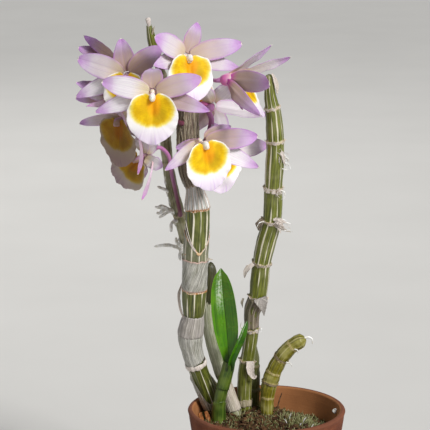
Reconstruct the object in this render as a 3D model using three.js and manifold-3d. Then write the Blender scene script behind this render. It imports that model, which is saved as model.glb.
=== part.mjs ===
// Dendrobium orchid in a terracotta pot: five canes, a new shoot and eleven open flowers.
// Millimetres, +Z up. The origin is the middle of the pot's underside and the front faces -Y.
import * as THREE from 'three';
import { mergeGeometries, mergeVertices } from 'three/addons/utils/BufferGeometryUtils.js';
import Module from 'manifold-3d';

const wasm = await Module();
wasm.setup();

// Driving dimensions
const gap = 0.3; // clearance between neighbouring pieces
const paper = 0.7; // wall of a dry sheath
const petalThickness = 0.7;
const lipThickness = 0.7;
const leafThickness = 0.9;
const pot = {
  height: 62,
  rimRadius: 33.6,
  footRadius: 23.5,
  wall: 2.6,
  floor: 4,
  sides: 36,
  drainRadius: 3,
  drainCircle: 13,
  drains: 3,
};
const mediumLevel = 54.9; // mean height of the bark and moss
const tidyTolerance = 0.08; // slivers below this are dropped where solids are fused
const stemFoot = 44; // how deep the canes stand in the bark
const groundLine = 58.6; // the canes run straight below this height

const colours = {
  terracotta: [0xb5654a, 0.9],
  bark: [0x4d4228, 0.95],
  greenCane: [0x6f7a35, 0.5],
  olderCane: [0x8c8a5c, 0.6],
  shoot: [0x4c8a1f, 0.4],
  leaf: [0x3f8f1c, 0.3],
  dryPaper: [0xc9c2b4, 0.6],
  brownPaper: [0x7d6c50, 0.7],
  petal: [0xe6cfe2, 0.5],
  lip: [0xf0c430, 0.5],
  root: [0x8a6d4c, 0.9],
};

const group = new THREE.Group();

function addMesh(name, geometry, colour) {
  const [color, roughness] = colours[colour];
  const mesh = new THREE.Mesh(geometry, new THREE.MeshStandardMaterial({ color, roughness, metalness: 0 }));
  mesh.name = name;
  group.add(mesh);
}

// ---- solids -------------------------------------------------------------------------------

function weld(geometry) {
  const bare = geometry.clone();
  bare.deleteAttribute('normal');
  bare.deleteAttribute('uv');
  return mergeVertices(bare, 1e-4);
}

function solidOf(geometry) {
  const welded = weld(geometry);
  return new wasm.Manifold(
    new wasm.Mesh({
      numProp: 3,
      vertProperties: new Float32Array(welded.attributes.position.array),
      triVerts: new Uint32Array(welded.index.array),
    }),
  );
}

function geometryOf(solid) {
  const mesh = solid.getMesh();
  const geometry = new THREE.BufferGeometry();
  geometry.setAttribute('position', new THREE.BufferAttribute(mesh.vertProperties, 3));
  geometry.setIndex(new THREE.BufferAttribute(mesh.triVerts, 1));
  geometry.computeVertexNormals();
  return geometry;
}

// Joins pieces into one solid and fills any pocket they close off between them.
function fuse(geometries) {
  const joined = geometries.map(solidOf).reduce((whole, piece) => whole.add(piece));
  const shells = joined.simplify(tidyTolerance).decompose();
  return shells.reduce((outer, shell) => (shell.volume() > outer.volume() ? shell : outer));
}

// Gives an open sheet a thickness. place(x, y) returns the point and the facing of the sheet
// there, and both faces carry the same split into triangles.
function thicken(sheet, thickness, place) {
  const flat = weld(sheet);
  const spots = flat.attributes.position;
  const count = spots.count;
  const front = [];
  const back = [];
  for (let i = 0; i < count; i += 1) {
    const { point, facing } = place(spots.getX(i), spots.getY(i));
    front.push(...point.clone().addScaledVector(facing, thickness / 2));
    back.push(...point.clone().addScaledVector(facing, -thickness / 2));
  }
  const split = Array.from(flat.index.array);
  const faces = [];
  const edges = new Map();
  for (let i = 0; i < split.length; i += 3) {
    const corner = split.slice(i, i + 3);
    faces.push(...corner, ...corner.map((k) => k + count).reverse());
    corner.forEach((a, k) => edges.set(`${a} ${corner[(k + 1) % 3]}`, [a, corner[(k + 1) % 3]]));
  }
  for (const [a, b] of edges.values()) {
    if (!edges.has(`${b} ${a}`)) faces.push(b, a, a + count, b, a + count, b + count);
  }
  const geometry = new THREE.BufferGeometry();
  geometry.setAttribute('position', new THREE.Float32BufferAttribute([...front, ...back], 3));
  geometry.setIndex(faces);
  return geometry;
}

// A turned solid about +Z, from a profile of [radius, height] points.
function turned(profile, sides) {
  const points = profile.map(([radius, height]) => new THREE.Vector2(radius, height));
  return new THREE.LatheGeometry(points, sides).rotateX(Math.PI / 2);
}

function eachVertex(geometry, move) {
  const spots = geometry.attributes.position;
  const at = new THREE.Vector3();
  for (let i = 0; i < spots.count; i += 1) {
    at.fromBufferAttribute(spots, i);
    move(at);
    spots.setXYZ(i, at.x, at.y, at.z);
  }
  return geometry;
}

// A round strand that follows a smooth curve through the points.
function strand(points, radius, steps, sides = 6) {
  const section = new THREE.Shape();
  for (let i = 0; i < sides; i += 1) {
    const turn = (2 * Math.PI * i) / sides;
    const corner = [radius * Math.cos(turn), radius * Math.sin(turn)];
    if (i === 0) section.moveTo(...corner);
    else section.lineTo(...corner);
  }
  const extrudePath = new THREE.CatmullRomCurve3(points.map((p) => new THREE.Vector3(...p)));
  return new THREE.ExtrudeGeometry(section, { steps, extrudePath, bevelEnabled: false });
}

function between(table, height) {
  const above = table.findIndex(([z]) => z > height);
  if (above === 0) return table[0][1];
  if (above < 0) return table[table.length - 1][1];
  const [z0, r0] = table[above - 1];
  const [z1, r1] = table[above];
  return r0 + ((r1 - r0) * (height - z0)) / (z1 - z0);
}

// ---- stems --------------------------------------------------------------------------------

// A stem is a centreline that always climbs, and its radius by height.
function makeStem(points, girth) {
  const curve = new THREE.CatmullRomCurve3(points.map((p) => new THREE.Vector3(...p)), false, 'centripetal');
  const samples = curve.getPoints(400);
  const frameAt = (height) => {
    let k = samples.findIndex((p) => p.z > height);
    if (k < 0) k = samples.length - 1;
    k = Math.max(k, 1);
    const [low, high] = [samples[k - 1], samples[k]];
    const centre = low.clone().lerp(high, (height - low.z) / (high.z - low.z));
    const along = high.clone().sub(low).normalize();
    const side = new THREE.Vector3(0, 1, 0).cross(along).normalize();
    const back = along.clone().cross(side);
    return { centre, side, back };
  };
  return { girth, frameAt, radiusAt: (height) => between(girth, height) };
}

// Moves each level ring of an upright solid onto the stem's centreline, square to it.
function bendOnto(stem, geometry) {
  return eachVertex(geometry, (at) => {
    const { centre, side, back } = stem.frameAt(at.z);
    at.copy(centre.addScaledVector(side, at.x).addScaledVector(back, at.y));
  });
}

// Point outside a stem. Bearing 0 is the front and 90 the right.
function besideStem(stem, height, bearing, reach) {
  const { centre, side, back } = stem.frameAt(height);
  const turn = THREE.MathUtils.degToRad(bearing);
  return centre.addScaledVector(side, reach * Math.sin(turn)).addScaledVector(back, -reach * Math.cos(turn));
}

// A cane from [height, radius] rows, its length ridged when the ridge share is above zero.
function caneFromRows(stem, rows, sides, ridge = 0) {
  const [bottom, top] = [rows[0][0], rows[rows.length - 1][0]];
  const profile = rows.map(([height, radius]) => [radius, height]);
  const body = turned([[0, bottom], ...profile, [0, top]], sides);
  eachVertex(body, (at) => {
    const bearing = Math.atan2(at.x, -at.y);
    const share = 1 + ridge * Math.cos((sides / 2) * bearing);
    at.x *= share;
    at.y *= share;
  });
  return bendOnto(stem, body);
}

// Rows of a cane with a raised ring or a torn collar at each joint: [height, flare].
function jointedRows(stem, top, joints) {
  const rows = [[stemFoot, stem.radiusAt(stemFoot)], [groundLine, stem.radiusAt(groundLine)]];
  joints.forEach(([height, flare], i) => {
    const radius = stem.radiusAt(height);
    const next = joints[i + 1]?.[0] ?? top - 1;
    const middle = (height + next) / 2;
    rows.push([height - 1.3, radius * 0.96], [height - 0.6, radius + flare / 2]);
    rows.push([height + 0.5, radius + flare], [height + 1, radius * 0.94]);
    if (next - height > 3) rows.push([middle, stem.radiusAt(middle) * 1.05]);
  });
  rows.push([top, stem.radiusAt(top) * 0.8]);
  return rows;
}

// A dry sleeve round a stem, from [height, outer radius] rows, with a ragged top and foot.
function sleeve(stem, { rows, sides = 12, tornTop = 0, tornFoot = 0 }) {
  const outer = rows.map(([height, radius]) => [radius, height]);
  const inner = rows.map(([height, radius]) => [radius - paper, height]).reverse();
  const low = rows[0][0];
  const high = rows[rows.length - 1][0];
  const body = turned([...outer, ...inner, outer[0]], sides);
  eachVertex(body, (at) => {
    const bearing = Math.atan2(at.x, -at.y);
    if (at.z > high - 0.01) at.z += tornTop * Math.sin(5 * bearing + 1);
    if (at.z < low + 0.01) at.z += tornFoot * Math.sin(3 * bearing);
  });
  return bendOnto(stem, body);
}

// ---- flowers ------------------------------------------------------------------------------

const tepalForm = {
  dorsal: { halfWidth: 3.5, forward: -0.5, swell: 0.72, blunt: 0.85 },
  petal: { halfWidth: 4.3, forward: 0.3, swell: 0.95, blunt: 0.72 },
  sepal: { halfWidth: 3.5, forward: -0.5, swell: 0.72, blunt: 0.85 },
};
const pedicelRadius = 0.9;
const tepalStart = 1.5; // distance of a tepal's foot from the middle of the flower
const tepalFoot = 0.9; // half width at the foot
const tepalCup = 0.12;
const tepalWave = 0.3; // how far the margin waves

// facing is [turn to the right, tilt up, clockwise roll] in degrees; [0, 0, 0] looks to -Y.
function flowerFrame([turn, tilt, roll]) {
  const [a, b, c] = [turn, tilt, roll].map(THREE.MathUtils.degToRad);
  const out = new THREE.Vector3(Math.sin(a) * Math.cos(b), -Math.cos(a) * Math.cos(b), Math.sin(b));
  const level = new THREE.Vector3(Math.cos(a), Math.sin(a), 0);
  const rise = out.clone().cross(level);
  const right = level.clone().multiplyScalar(Math.cos(c)).addScaledVector(rise, -Math.sin(c));
  const up = rise.clone().multiplyScalar(Math.cos(c)).addScaledVector(level, Math.sin(c));
  return { right, up, out };
}

// A tepal: its midline is an arc that starts at the lean and bends back by the curl, and its
// half width is a power of a sine along it, with cupped sides.
function tepal(centre, frame, kind, [turn, length, lean, curl, widen = 1], across, along) {
  const form = tepalForm[kind];
  const [theta, rise, bend] = [turn, lean, curl].map(THREE.MathUtils.degToRad);
  const outward = frame.up.clone().multiplyScalar(Math.cos(theta)).addScaledVector(frame.right, Math.sin(theta));
  const cross = frame.right.clone().multiplyScalar(Math.cos(theta)).addScaledVector(frame.up, -Math.sin(theta));
  return thicken(new THREE.PlaneGeometry(2, 1, across, along), petalThickness, (s, y) => {
    const t = y + 0.5;
    const slope = rise - bend * t;
    const reach = bend ? (length * (Math.sin(rise) - Math.sin(slope))) / bend : length * t * Math.cos(rise);
    const lift = bend ? (length * (Math.cos(slope) - Math.cos(rise))) / bend : length * t * Math.sin(rise);
    const oval = Math.sin(Math.PI * Math.min(t, 0.999) ** form.swell) ** form.blunt;
    const half = form.halfWidth * widen * oval + tepalFoot * (1 - t) ** 3 + 0.4 * t ** 6;
    const facing = frame.out.clone().multiplyScalar(Math.cos(slope)).addScaledVector(outward, -Math.sin(slope));
    const point = centre
      .clone()
      .addScaledVector(outward, tepalStart + reach)
      .addScaledVector(frame.out, form.forward + lift)
      .addScaledVector(cross, half * s)
      .addScaledVector(facing, (tepalCup * half + tepalWave * Math.sin(9 * t + s)) * s * s);
    return { point, facing };
  });
}

const lipForward = 1.9; // distance of the lip's plane in front of the tepals

function lipFrame(frame, tilt) {
  const a = THREE.MathUtils.degToRad(tilt);
  const up = frame.up.clone().multiplyScalar(Math.cos(a)).addScaledVector(frame.out, Math.sin(a));
  const out = frame.out.clone().multiplyScalar(Math.cos(a)).addScaledVector(frame.up, -Math.sin(a));
  return { right: frame.right, up, out };
}

// The lip: a heart-shaped dish. Bearing 0 is its notch, below the column.
function lipOutline(bearing) {
  const b = Math.abs(bearing);
  const notch = 0.46 * Math.exp(-((b / 0.3) ** 2));
  const lobe = 0.06 * Math.exp(-(((b - 0.75) / 0.35) ** 2));
  const point = 0.03 * Math.exp(-(((b - Math.PI) / 0.4) ** 2));
  return 1 - notch + lobe + point;
}

function lipDish(share, bearing) {
  const b = Math.abs(bearing);
  const lobes = 2.2 * share ** 2 * Math.exp(-(((b - 0.85) / 0.55) ** 2));
  const hem = -0.8 * share ** 3 * Math.max(0, -Math.cos(b));
  const ruffle = 0.3 * share ** 4 * Math.cos(7 * b);
  return lobes + hem + ruffle;
}

function lipSheet(middle, { right, up, out }, radius, narrow) {
  const spokes = 18;
  const disc = mergeGeometries([
    new THREE.CircleGeometry(0.55, spokes),
    new THREE.RingGeometry(0.55, 1, spokes, 1),
  ]);
  return thicken(disc, lipThickness, (x, y) => {
    const share = Math.hypot(x, y);
    const bearing = Math.atan2(x, y);
    const reach = radius * share * lipOutline(bearing);
    const point = middle
      .clone()
      .addScaledVector(right, narrow * reach * Math.sin(bearing))
      .addScaledVector(up, reach * Math.cos(bearing))
      .addScaledVector(out, lipDish(share, bearing));
    return { point, facing: out };
  });
}

function egg(centre, { right, up, out }, [rx, ry, rz]) {
  const basis = new THREE.Matrix4().makeBasis(
    right.clone().multiplyScalar(rx),
    up.clone().multiplyScalar(ry),
    out.clone().multiplyScalar(rz),
  );
  return new THREE.SphereGeometry(1, 6, 4).applyMatrix4(basis.setPosition(centre));
}

// ---- the pot and what it holds --------------------------------------------------------------

function potOuter(height) {
  return pot.footRadius + ((pot.rimRadius - pot.footRadius) * height) / pot.height;
}

function makePot() {
  const edge = pot.wall / 2;
  const rimMiddle = [pot.rimRadius - edge, pot.height - edge];
  const rim = [0, 60, 120, 180].map((degrees) => {
    const turn = THREE.MathUtils.degToRad(degrees);
    return [rimMiddle[0] + edge * Math.cos(turn), rimMiddle[1] + edge * Math.sin(turn)];
  });
  const profile = [
    [0, 0],
    [pot.footRadius - 0.8, 0],
    [potOuter(0.8), 0.8],
    ...rim,
    [potOuter(pot.floor + 2) - pot.wall, pot.floor + 2],
    [potOuter(pot.floor) - pot.wall - 2, pot.floor],
    [0, pot.floor],
  ];
  let body = solidOf(turned(profile, pot.sides));
  for (let i = 0; i < pot.drains; i += 1) {
    const turn = (2 * Math.PI * i) / pot.drains + Math.PI / 6;
    const hole = new THREE.CylinderGeometry(pot.drainRadius, pot.drainRadius, 3 * pot.floor, 10);
    hole.rotateX(Math.PI / 2);
    hole.translate(pot.drainCircle * Math.cos(turn), pot.drainCircle * Math.sin(turn), 0);
    body = body.subtract(solidOf(hole));
  }
  return body;
}

// Height of the bark and moss: a low mound round the canes with lumps of bark.
function mediumTop(x, y) {
  const mound = 1.6 * Math.exp(-((x + 8) ** 2 + (y - 8) ** 2) / 260);
  const lumps = 0.55 * Math.sin(0.62 * x + 1) * Math.sin(0.7 * y) + 0.35 * Math.sin(1.3 * x - 0.9 * y + 2);
  return mediumLevel + mound + 0.02 * y + lumps;
}

function makeMedium(holes) {
  const low = pot.floor + gap;
  const inner = (height) => potOuter(height) - pot.wall - gap - 0.2;
  const edge = mediumLevel - 0.6;
  const rings = [1, 0.82, 0.64, 0.46, 0.24];
  const profile = [
    [0, low],
    [inner(low + 3) - 2.6, low],
    [inner(low + 3), low + 3],
    ...rings.map((share) => [share * inner(edge), edge]),
    [0, edge],
  ];
  const body = eachVertex(turned(profile, 28), (at) => {
    if (at.z > edge - 0.01) at.z = mediumTop(at.x, at.y);
  });
  return holes.reduce((solid, hole) => solid.subtract(hole), solidOf(body));
}

// ---- canes ----------------------------------------------------------------------------------

const stems = {
  main: makeStem(
    [
      [-20.5, 12.4, 40], [-22.6, 11.4, 57], [-24.5, 10, 63], [-29, 6.3, 76.5], [-31.5, 4.3, 85], [-32.5, 3, 93],
      [-31.2, 1.5, 102], [-30.8, -1, 114], [-30.1, -3, 130], [-29.3, -3, 148], [-30.3, -2.5, 157],
      [-32.8, 0, 168], [-33.2, 1, 180], [-33.2, 3, 194], [-33.7, 3.5, 204],
    ],
    [
      [stemFoot, 3.3], [groundLine, 3.5], [61, 3.6], [62, 3.95], [63, 3.65], [78, 4.1], [79, 4.45],
      [79.7, 3.3], [86, 3.4], [90.5, 4.1], [94, 4.3], [97.5, 4], [101.4, 3.4], [102.4, 3.7], [108, 4.9],
      [113, 5.2], [114.2, 5.55], [115, 4.2], [121.5, 4.2], [128.4, 4.2], [129.3, 5.5], [130.6, 5.15], [139, 5.05],
      [148.4, 5], [149.3, 5.45], [150.2, 4.1], [153.5, 3.85], [156.4, 3.05], [160, 2.7], [165, 3.1], [174, 3.2],
      [184, 3.1], [191.4, 3], [192.5, 3.6], [193.6, 3.3], [197.5, 2.8], [200.5, 1.7],
    ],
  ),
  tall: makeStem(
    [
      [-17, 17.6, 40], [-19.2, 17.6, 57], [-20.8, 18.3, 62], [-24.8, 19.2, 67.5], [-29.4, 20, 75], [-32, 18, 90],
      [-32.5, 17.5, 108], [-34.4, 16, 131], [-37.2, 15, 143], [-40, 14, 154], [-42, 13, 166], [-43, 12, 180],
      [-43.4, 11, 193], [-43.8, 10, 204], [-46, 9, 214.5], [-48.2, 8, 222], [-49.6, 8, 230],
    ],
    [[44, 2.5], [90, 2.7], [150, 2.5], [180, 2.2], [204, 1.7], [221, 1.2], [228.5, 2.1]],
  ),
  back: makeStem(
    [
      [-10.5, 5, 40], [-13.4, 7.4, 57], [-15.3, 9, 62.5], [-17.3, 10.5, 68], [-19.4, 12, 74], [-21.3, 14, 81.5],
      [-23.3, 15, 89], [-24.6, 15.3, 97], [-24.7, 15.3, 106], [-23.8, 15.3, 120], [-24.4, 14.6, 136],
    ],
    [[44, 2.4], [60, 2.5], [74, 2.4], [82, 3], [95, 2.7], [114, 2.6], [122, 1.7]],
  ),
  right: makeStem(
    [
      [-9.4, 14, 40], [-9.3, 14, 57], [-9.3, 14, 64], [-8.9, 13.5, 74], [-7.6, 13, 82], [-6.4, 11.5, 92],
      [-6, 10.5, 102], [-3.9, 9.5, 108], [-3, 8.8, 116], [-2.3, 8, 123], [-0.6, 7, 132], [2, 5.2, 143],
      [2.5, 3.5, 158], [3.1, 2, 175], [2.2, 1, 189], [0.8, 0.4, 197], [0.2, 0, 207],
    ],
    [
      [44, 2.9], [64, 3], [76, 3.1], [84, 2.9], [92, 3], [97, 2.9], [104, 3.5], [108, 3.8], [122, 3.8],
      [137, 4], [150, 3.8], [176, 3.7], [190, 3.2], [199, 2.2], [206, 1.6],
    ],
  ),
  small: makeStem(
    [
      [0.2, 10, 40], [0.3, 10, 57], [0.9, 10, 66.5], [3.2, 9.6, 75], [6.7, 8.6, 82], [10.1, 7.7, 86.3],
      [13.5, 7, 89], [15.6, 6.7, 90], [17.2, 6.5, 90.6],
    ],
    [[44, 2.5], [60, 2.8], [70, 3.4], [80, 3.2], [86, 3.1], [89, 3.1], [90.4, 2.8]],
  ),
  stub: makeStem(
    [[-4.4, 19.2, 40], [-4.8, 19.1, 57], [-4.9, 19, 66], [-5, 18.5, 78], [-5.3, 17.9, 88]],
    [[44, 2.2], [60, 2.4], [72, 2.4], [80, 2], [84.5, 1.2]],
  ),
  shoot: makeStem(
    [[-20.2, 0.6, 40], [-20.4, 1.6, 57], [-20.2, 2, 63], [-18.4, 2, 71.5], [-16.4, 2, 79], [-15.2, 2, 87]],
    [[44, 2.6], [57, 2.9], [63, 2.5], [72, 2.8], [79, 2.9], [84, 1.8]],
  ),
};

addMesh('cane_main', caneFromRows(stems.main, stems.main.girth, 12, 0.025), 'greenCane');

const roots = {
  tall: [
    [[-36, 15.6, 128], [-42, 13, 130.2], [-48, 11.4, 130]],
    [[-38, 14.6, 145], [-42.5, 12.4, 146], [-47.4, 11, 147.4]],
    [[-41, 13, 145.4], [-43.6, 11.4, 144], [-45.8, 11, 142.6]],
    [[-39.6, 14, 152], [-42.6, 12.6, 154.2], [-46.4, 11.8, 156]],
    [[-37.6, 14, 141], [-40.4, 11.6, 140], [-40.6, 11, 136.4]],
  ],
  right: [
    [[3, 1.4, 173], [6.6, 0.6, 175.6], [9.2, 1.4, 172], [7.6, 1.6, 168.6]],
    [[3, 1.4, 169], [6.8, 1.2, 169.4], [9.4, 2, 166.4]],
    [[2, 4.6, 143], [6, 3.4, 142.6], [9.8, 4, 140.6]],
    [[1.6, 5, 140], [5.6, 4, 138.6], [8.8, 4.6, 136.4]],
    [[-3, 8.4, 122], [-7.2, 6.4, 121.6], [-9.2, 6.6, 117.4]],
  ],
};
const rootRadius = 0.45;

function rootedCane(stem, rows, sides, paths) {
  const strands = paths.map((path) => strand(path, rootRadius, 3, 5));
  return geometryOf(fuse([caneFromRows(stem, rows, sides), ...strands]));
}

const tallJoints = [[74, 0.3], [98, 0.3], [120, 0.4], [143, 0.4], [166, 0.3], [186, 0.3], [204, 0.3], [219, 0.5]];
addMesh('cane_tall', rootedCane(stems.tall, jointedRows(stems.tall, 228.5, tallJoints), 8, roots.tall), 'olderCane');

addMesh(
  'cane_back',
  caneFromRows(stems.back, jointedRows(stems.back, 122, [[72, 0.4], [90, 0.5], [112, 0.4]]), 10),
  'olderCane',
);

const rightJoints = [
  [76.4, 0.8], [92, 0.7], [107.4, 0.9], [121.6, 0.8], [143.6, 0.8], [159.8, 0.5], [177.4, 0.7], [193, 0.6],
];
addMesh(
  'cane_right',
  rootedCane(stems.right, jointedRows(stems.right, 206, rightJoints), 10, roots.right),
  'greenCane',
);

const smallJoints = [[63.5, 0.3], [70.5, 0.3], [75, 0.3], [81, 0.3], [87.2, 0.3]];
const dryHook = [[15, 6.6, 90.4], [17.6, 6.5, 91.2], [19.3, 6.5, 90.4], [19.6, 6.5, 88.6]];
addMesh('cane_small', rootedCane(stems.small, jointedRows(stems.small, 90.5, smallJoints), 10, [dryHook]), 'greenCane');
addMesh('cane_stub', caneFromRows(stems.stub, jointedRows(stems.stub, 84.5, [[64, 0.3], [75, 0.3]]), 8), 'olderCane');
addMesh(
  'new_shoot',
  caneFromRows(stems.shoot, jointedRows(stems.shoot, 84, [[63, 0.25], [72.3, 0.25]]), 12),
  'shoot',
);

// Dry sheaths: [height, outer radius] rows
const sheaths = {
  lower: {
    stem: 'main',
    rows: [[80.6, 4.4], [86, 4.5], [90.5, 5.2], [94, 5.4], [97.5, 5.1], [101.4, 4.5]],
    tornFoot: 0.4,
  },
  middle: { stem: 'main', rows: [[115.8, 5.4], [121.5, 5.3], [127.9, 5.5]], tornTop: 0.2 },
  silver: { stem: 'main', rows: [[150.8, 5.2], [153.5, 5], [156.4, 4.2], [159.4, 3.85]], tornFoot: 0.15 },
  brown: { stem: 'main', rows: [[160, 3.9], [165, 4.3], [174, 4.35], [184, 4.3], [190.6, 4.2]], tornTop: 0.4 },
};
Object.entries(sheaths).forEach(([name, sheath]) => {
  addMesh(`sheath_${name}`, sleeve(stems[sheath.stem], sheath), name === 'brown' ? 'brownPaper' : 'dryPaper');
});

// Radius of whatever is outermost on a stem at a height
function outerRadius(stemName, height) {
  const wrap = Object.values(sheaths).find(
    ({ stem, rows }) => stem === stemName && rows[0][0] <= height && height <= rows[rows.length - 1][0],
  );
  return wrap ? between(wrap.rows, height) : stems[stemName].radiusAt(height);
}

// ---- leaves ---------------------------------------------------------------------------------

// A leaf: its midrib is a curve, its half width a power of a sine, and its sides fold forward.
function leaf(points, { halfWidth, fold, twist, along, swell, footWidth }) {
  const midrib = new THREE.CatmullRomCurve3(points.map((p) => new THREE.Vector3(...p)));
  const turn = THREE.MathUtils.degToRad(twist);
  const rise = THREE.MathUtils.degToRad(fold);
  return thicken(new THREE.PlaneGeometry(2, 1, 4, along), leafThickness, (s, y) => {
    const t = y + 0.5;
    const along3 = midrib.getTangentAt(t);
    const level = new THREE.Vector3(Math.cos(turn), Math.sin(turn), 0);
    const facing = level.clone().cross(along3).normalize();
    const cross = along3.clone().cross(facing).normalize();
    const half = halfWidth * Math.sin(Math.PI * Math.min(t, 0.999) ** swell) ** 0.7 + footWidth * (1 - t) ** 2 + 0.4;
    const lift = Math.abs(s) * half * Math.sin(rise);
    const point = midrib.getPointAt(t).addScaledVector(cross, s * half * Math.cos(rise)).addScaledVector(facing, lift);
    return { point, facing };
  });
}

addMesh(
  'leaf_large',
  leaf([[-15.9, 5.3, 80.6], [-16.4, 4.4, 88], [-17.3, 2, 99.5], [-18.5, -1, 112], [-19.5, -4, 124.3]], {
    halfWidth: 5,
    fold: 16,
    twist: -6,
    along: 9,
    swell: 0.8,
    footWidth: 1.4,
  }),
  'leaf',
);
addMesh(
  'leaf_small',
  leaf([[-13.3, -0.6, 79.4], [-12.4, -1.2, 86], [-10.8, -0.6, 94], [-9, 1, 99.8]], {
    halfWidth: 1.9,
    fold: 50,
    twist: 50,
    along: 6,
    swell: 0.8,
    footWidth: 0.6,
  }),
  'leaf',
);

// ---- the eleven flowers ---------------------------------------------------------------------

// Each tepal is [turn from the top, length, lean forward, curl back, width share].
// The pedicel leaves the back of the flower, passes the via points and ends on a cane.
const flowers = {
  front: {
    broad: true, at: [-46.8, -32, 203.7], facing: [-2, 6, 0], lip: { radius: 10.3 },
    dorsal: [-4, 12.4, -12, 80, 1.2], petals: [[74, 19, 8, 25], [-79, 19.5, 8, 25]],
    sepals: [[109, 23, -4, 12], [-110, 24, -4, 12]],
    via: [[-45.5, -24, 200], [-41.5, -14, 194]], seat: ['main', 185, -30],
  },
  top: {
    at: [-33.5, -14, 215.5], facing: [26, 24, 6], lip: { radius: 9.8 },
    dorsal: [25, 15, 2, 10], petals: [[77, 24, 10, 15, 1.08], [-68, 15.5, 24, 20, 1.1]],
    sepals: [[100, 23, 4, 12], [-108, 15, 10, 6, 1.05]],
    via: [[-35.2, -6, 209]], seat: ['main', 198, 10],
  },
  upper_left: {
    at: [-58.1, -6, 206.5], facing: [-12, 12, 0], lip: { radius: 9 },
    dorsal: [-13, 14, 6, 20, 1.05], petals: [[50, 17, 8, 20], [-74, 21, 6, 20, 1.15]],
    sepals: [[112, 16, -4, 12], [-113, 23.5, -4, 12]],
    via: [[-54, 2, 202]], seat: ['tall', 196, -50],
  },
  far_left: {
    at: [-65.2, 19.5, 209.3], facing: [-105, 10, 0], lip: { radius: 7.6, tilt: 18, drop: 1 },
    dorsal: [49, 17, 42, 0], petals: [[70, 15, 60, 5], [-98, 21, 55, 5]],
    sepals: [[120, 15, -24, 10], [-128, 17, -24, 10]],
    via: [[-55, 15, 204]], seat: ['tall', 200, -110],
  },
  left: {
    at: [-66.6, 7, 196.8], facing: [-95, -5, 0], lip: { radius: 8, tilt: 25, drop: 0.6 },
    dorsal: [44, 14.6, 60, 0], petals: [[70, 9, 62, 0, 0.8], [-104, 18, 58, 0]],
    sepals: [[118, 14, -24, 0], [-132, 15, -26, 10]],
    via: [[-55, 10, 192]], seat: ['tall', 182.5, -90],
  },
  low_left: {
    at: [-59.5, -19, 191.5], facing: [-43, -2, 4], lip: { radius: 10.3 },
    dorsal: [-10, 13, 0, 30], petals: [[62, 13, 0, 30], [-107, 25, 5, 12]],
    sepals: [[120, 11, 10, 10, 0.8], [-140, 16, -8, 10]],
    via: [[-53, -8, 187], [-46, 2, 182]], seat: ['tall', 178, -10],
  },
  lowest_left: {
    at: [-50.8, -10, 174.3], facing: [-40, -8, 42], lip: { radius: 9.8 },
    dorsal: [-14, 8, -20, 10, 0.8], petals: [[76, 8, -20, 10, 0.8], [-42, 9, 20, 10, 0.8]],
    sepals: [[157, 21.5, -8, 0, 0.6], [-200, 12, -10, 0, 0.8]],
    via: [[-45.5, -5.5, 176.2], [-41.6, -2, 172.5], [-40, 2, 163], [-38, 7, 152]], seat: ['tall', 144, 10],
  },
  low_right: {
    at: [-27.3, -18, 181.4], facing: [26, 7, -8], lip: { radius: 10.2 },
    dorsal: [82, 14.5, 4, 30], petals: [[99, 24, 6, 12], [-89, 8, -10, 60, 0.8]],
    sepals: [[125, 29, 0, 12, 1.1], [-117, 18, -4, 12, 0.9]],
    via: [[-30.5, -10, 177.5]], seat: ['main', 171, 20],
  },
  behind_right: {
    at: [-21.6, 2, 174.3], facing: [34, 0, -10], lip: { radius: 9.5 },
    dorsal: [30, 14, 0, 50], petals: [[103, 24, 10, 15], [-75, 4.5, 20, 30, 0.8]],
    sepals: [[135, 16, -4, 10], [-115, 6, 10, 20, 0.8]],
    via: [[-25, 7, 172]], seat: ['main', 167, 120],
  },
  back: {
    at: [-22.8, 14, 190.5], facing: [165, 20, -100], lip: { radius: 9.6 },
    dorsal: [4, 21, 0, 20], petals: [[54, 13, 4, 20], [-70, 16, 4, 20]],
    sepals: [[123, 13, -4, 10], [-120, 16, -4, 10]],
    via: [[-23.5, 9, 185]], seat: ['main', 176, 115],
  },
  right: {
    at: [-16.3, -10, 205.4], facing: [74, 0, 0], lip: { radius: 9.6, tilt: -38, forward: 2.5, drop: 1.6, narrow: 0.46 },
    dorsal: [37, 21.5, 50, 10, 0.85], petals: [[77, 26, 62, 5, 0.85], [-85, 24, 64, 20, 1.1]],
    sepals: [[157, 20, 20, 0], [-120, 28, 26, -20, 1.1]],
    via: [[-24, -3, 203.5]], seat: ['main', 196, 70],
  },
};

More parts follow.
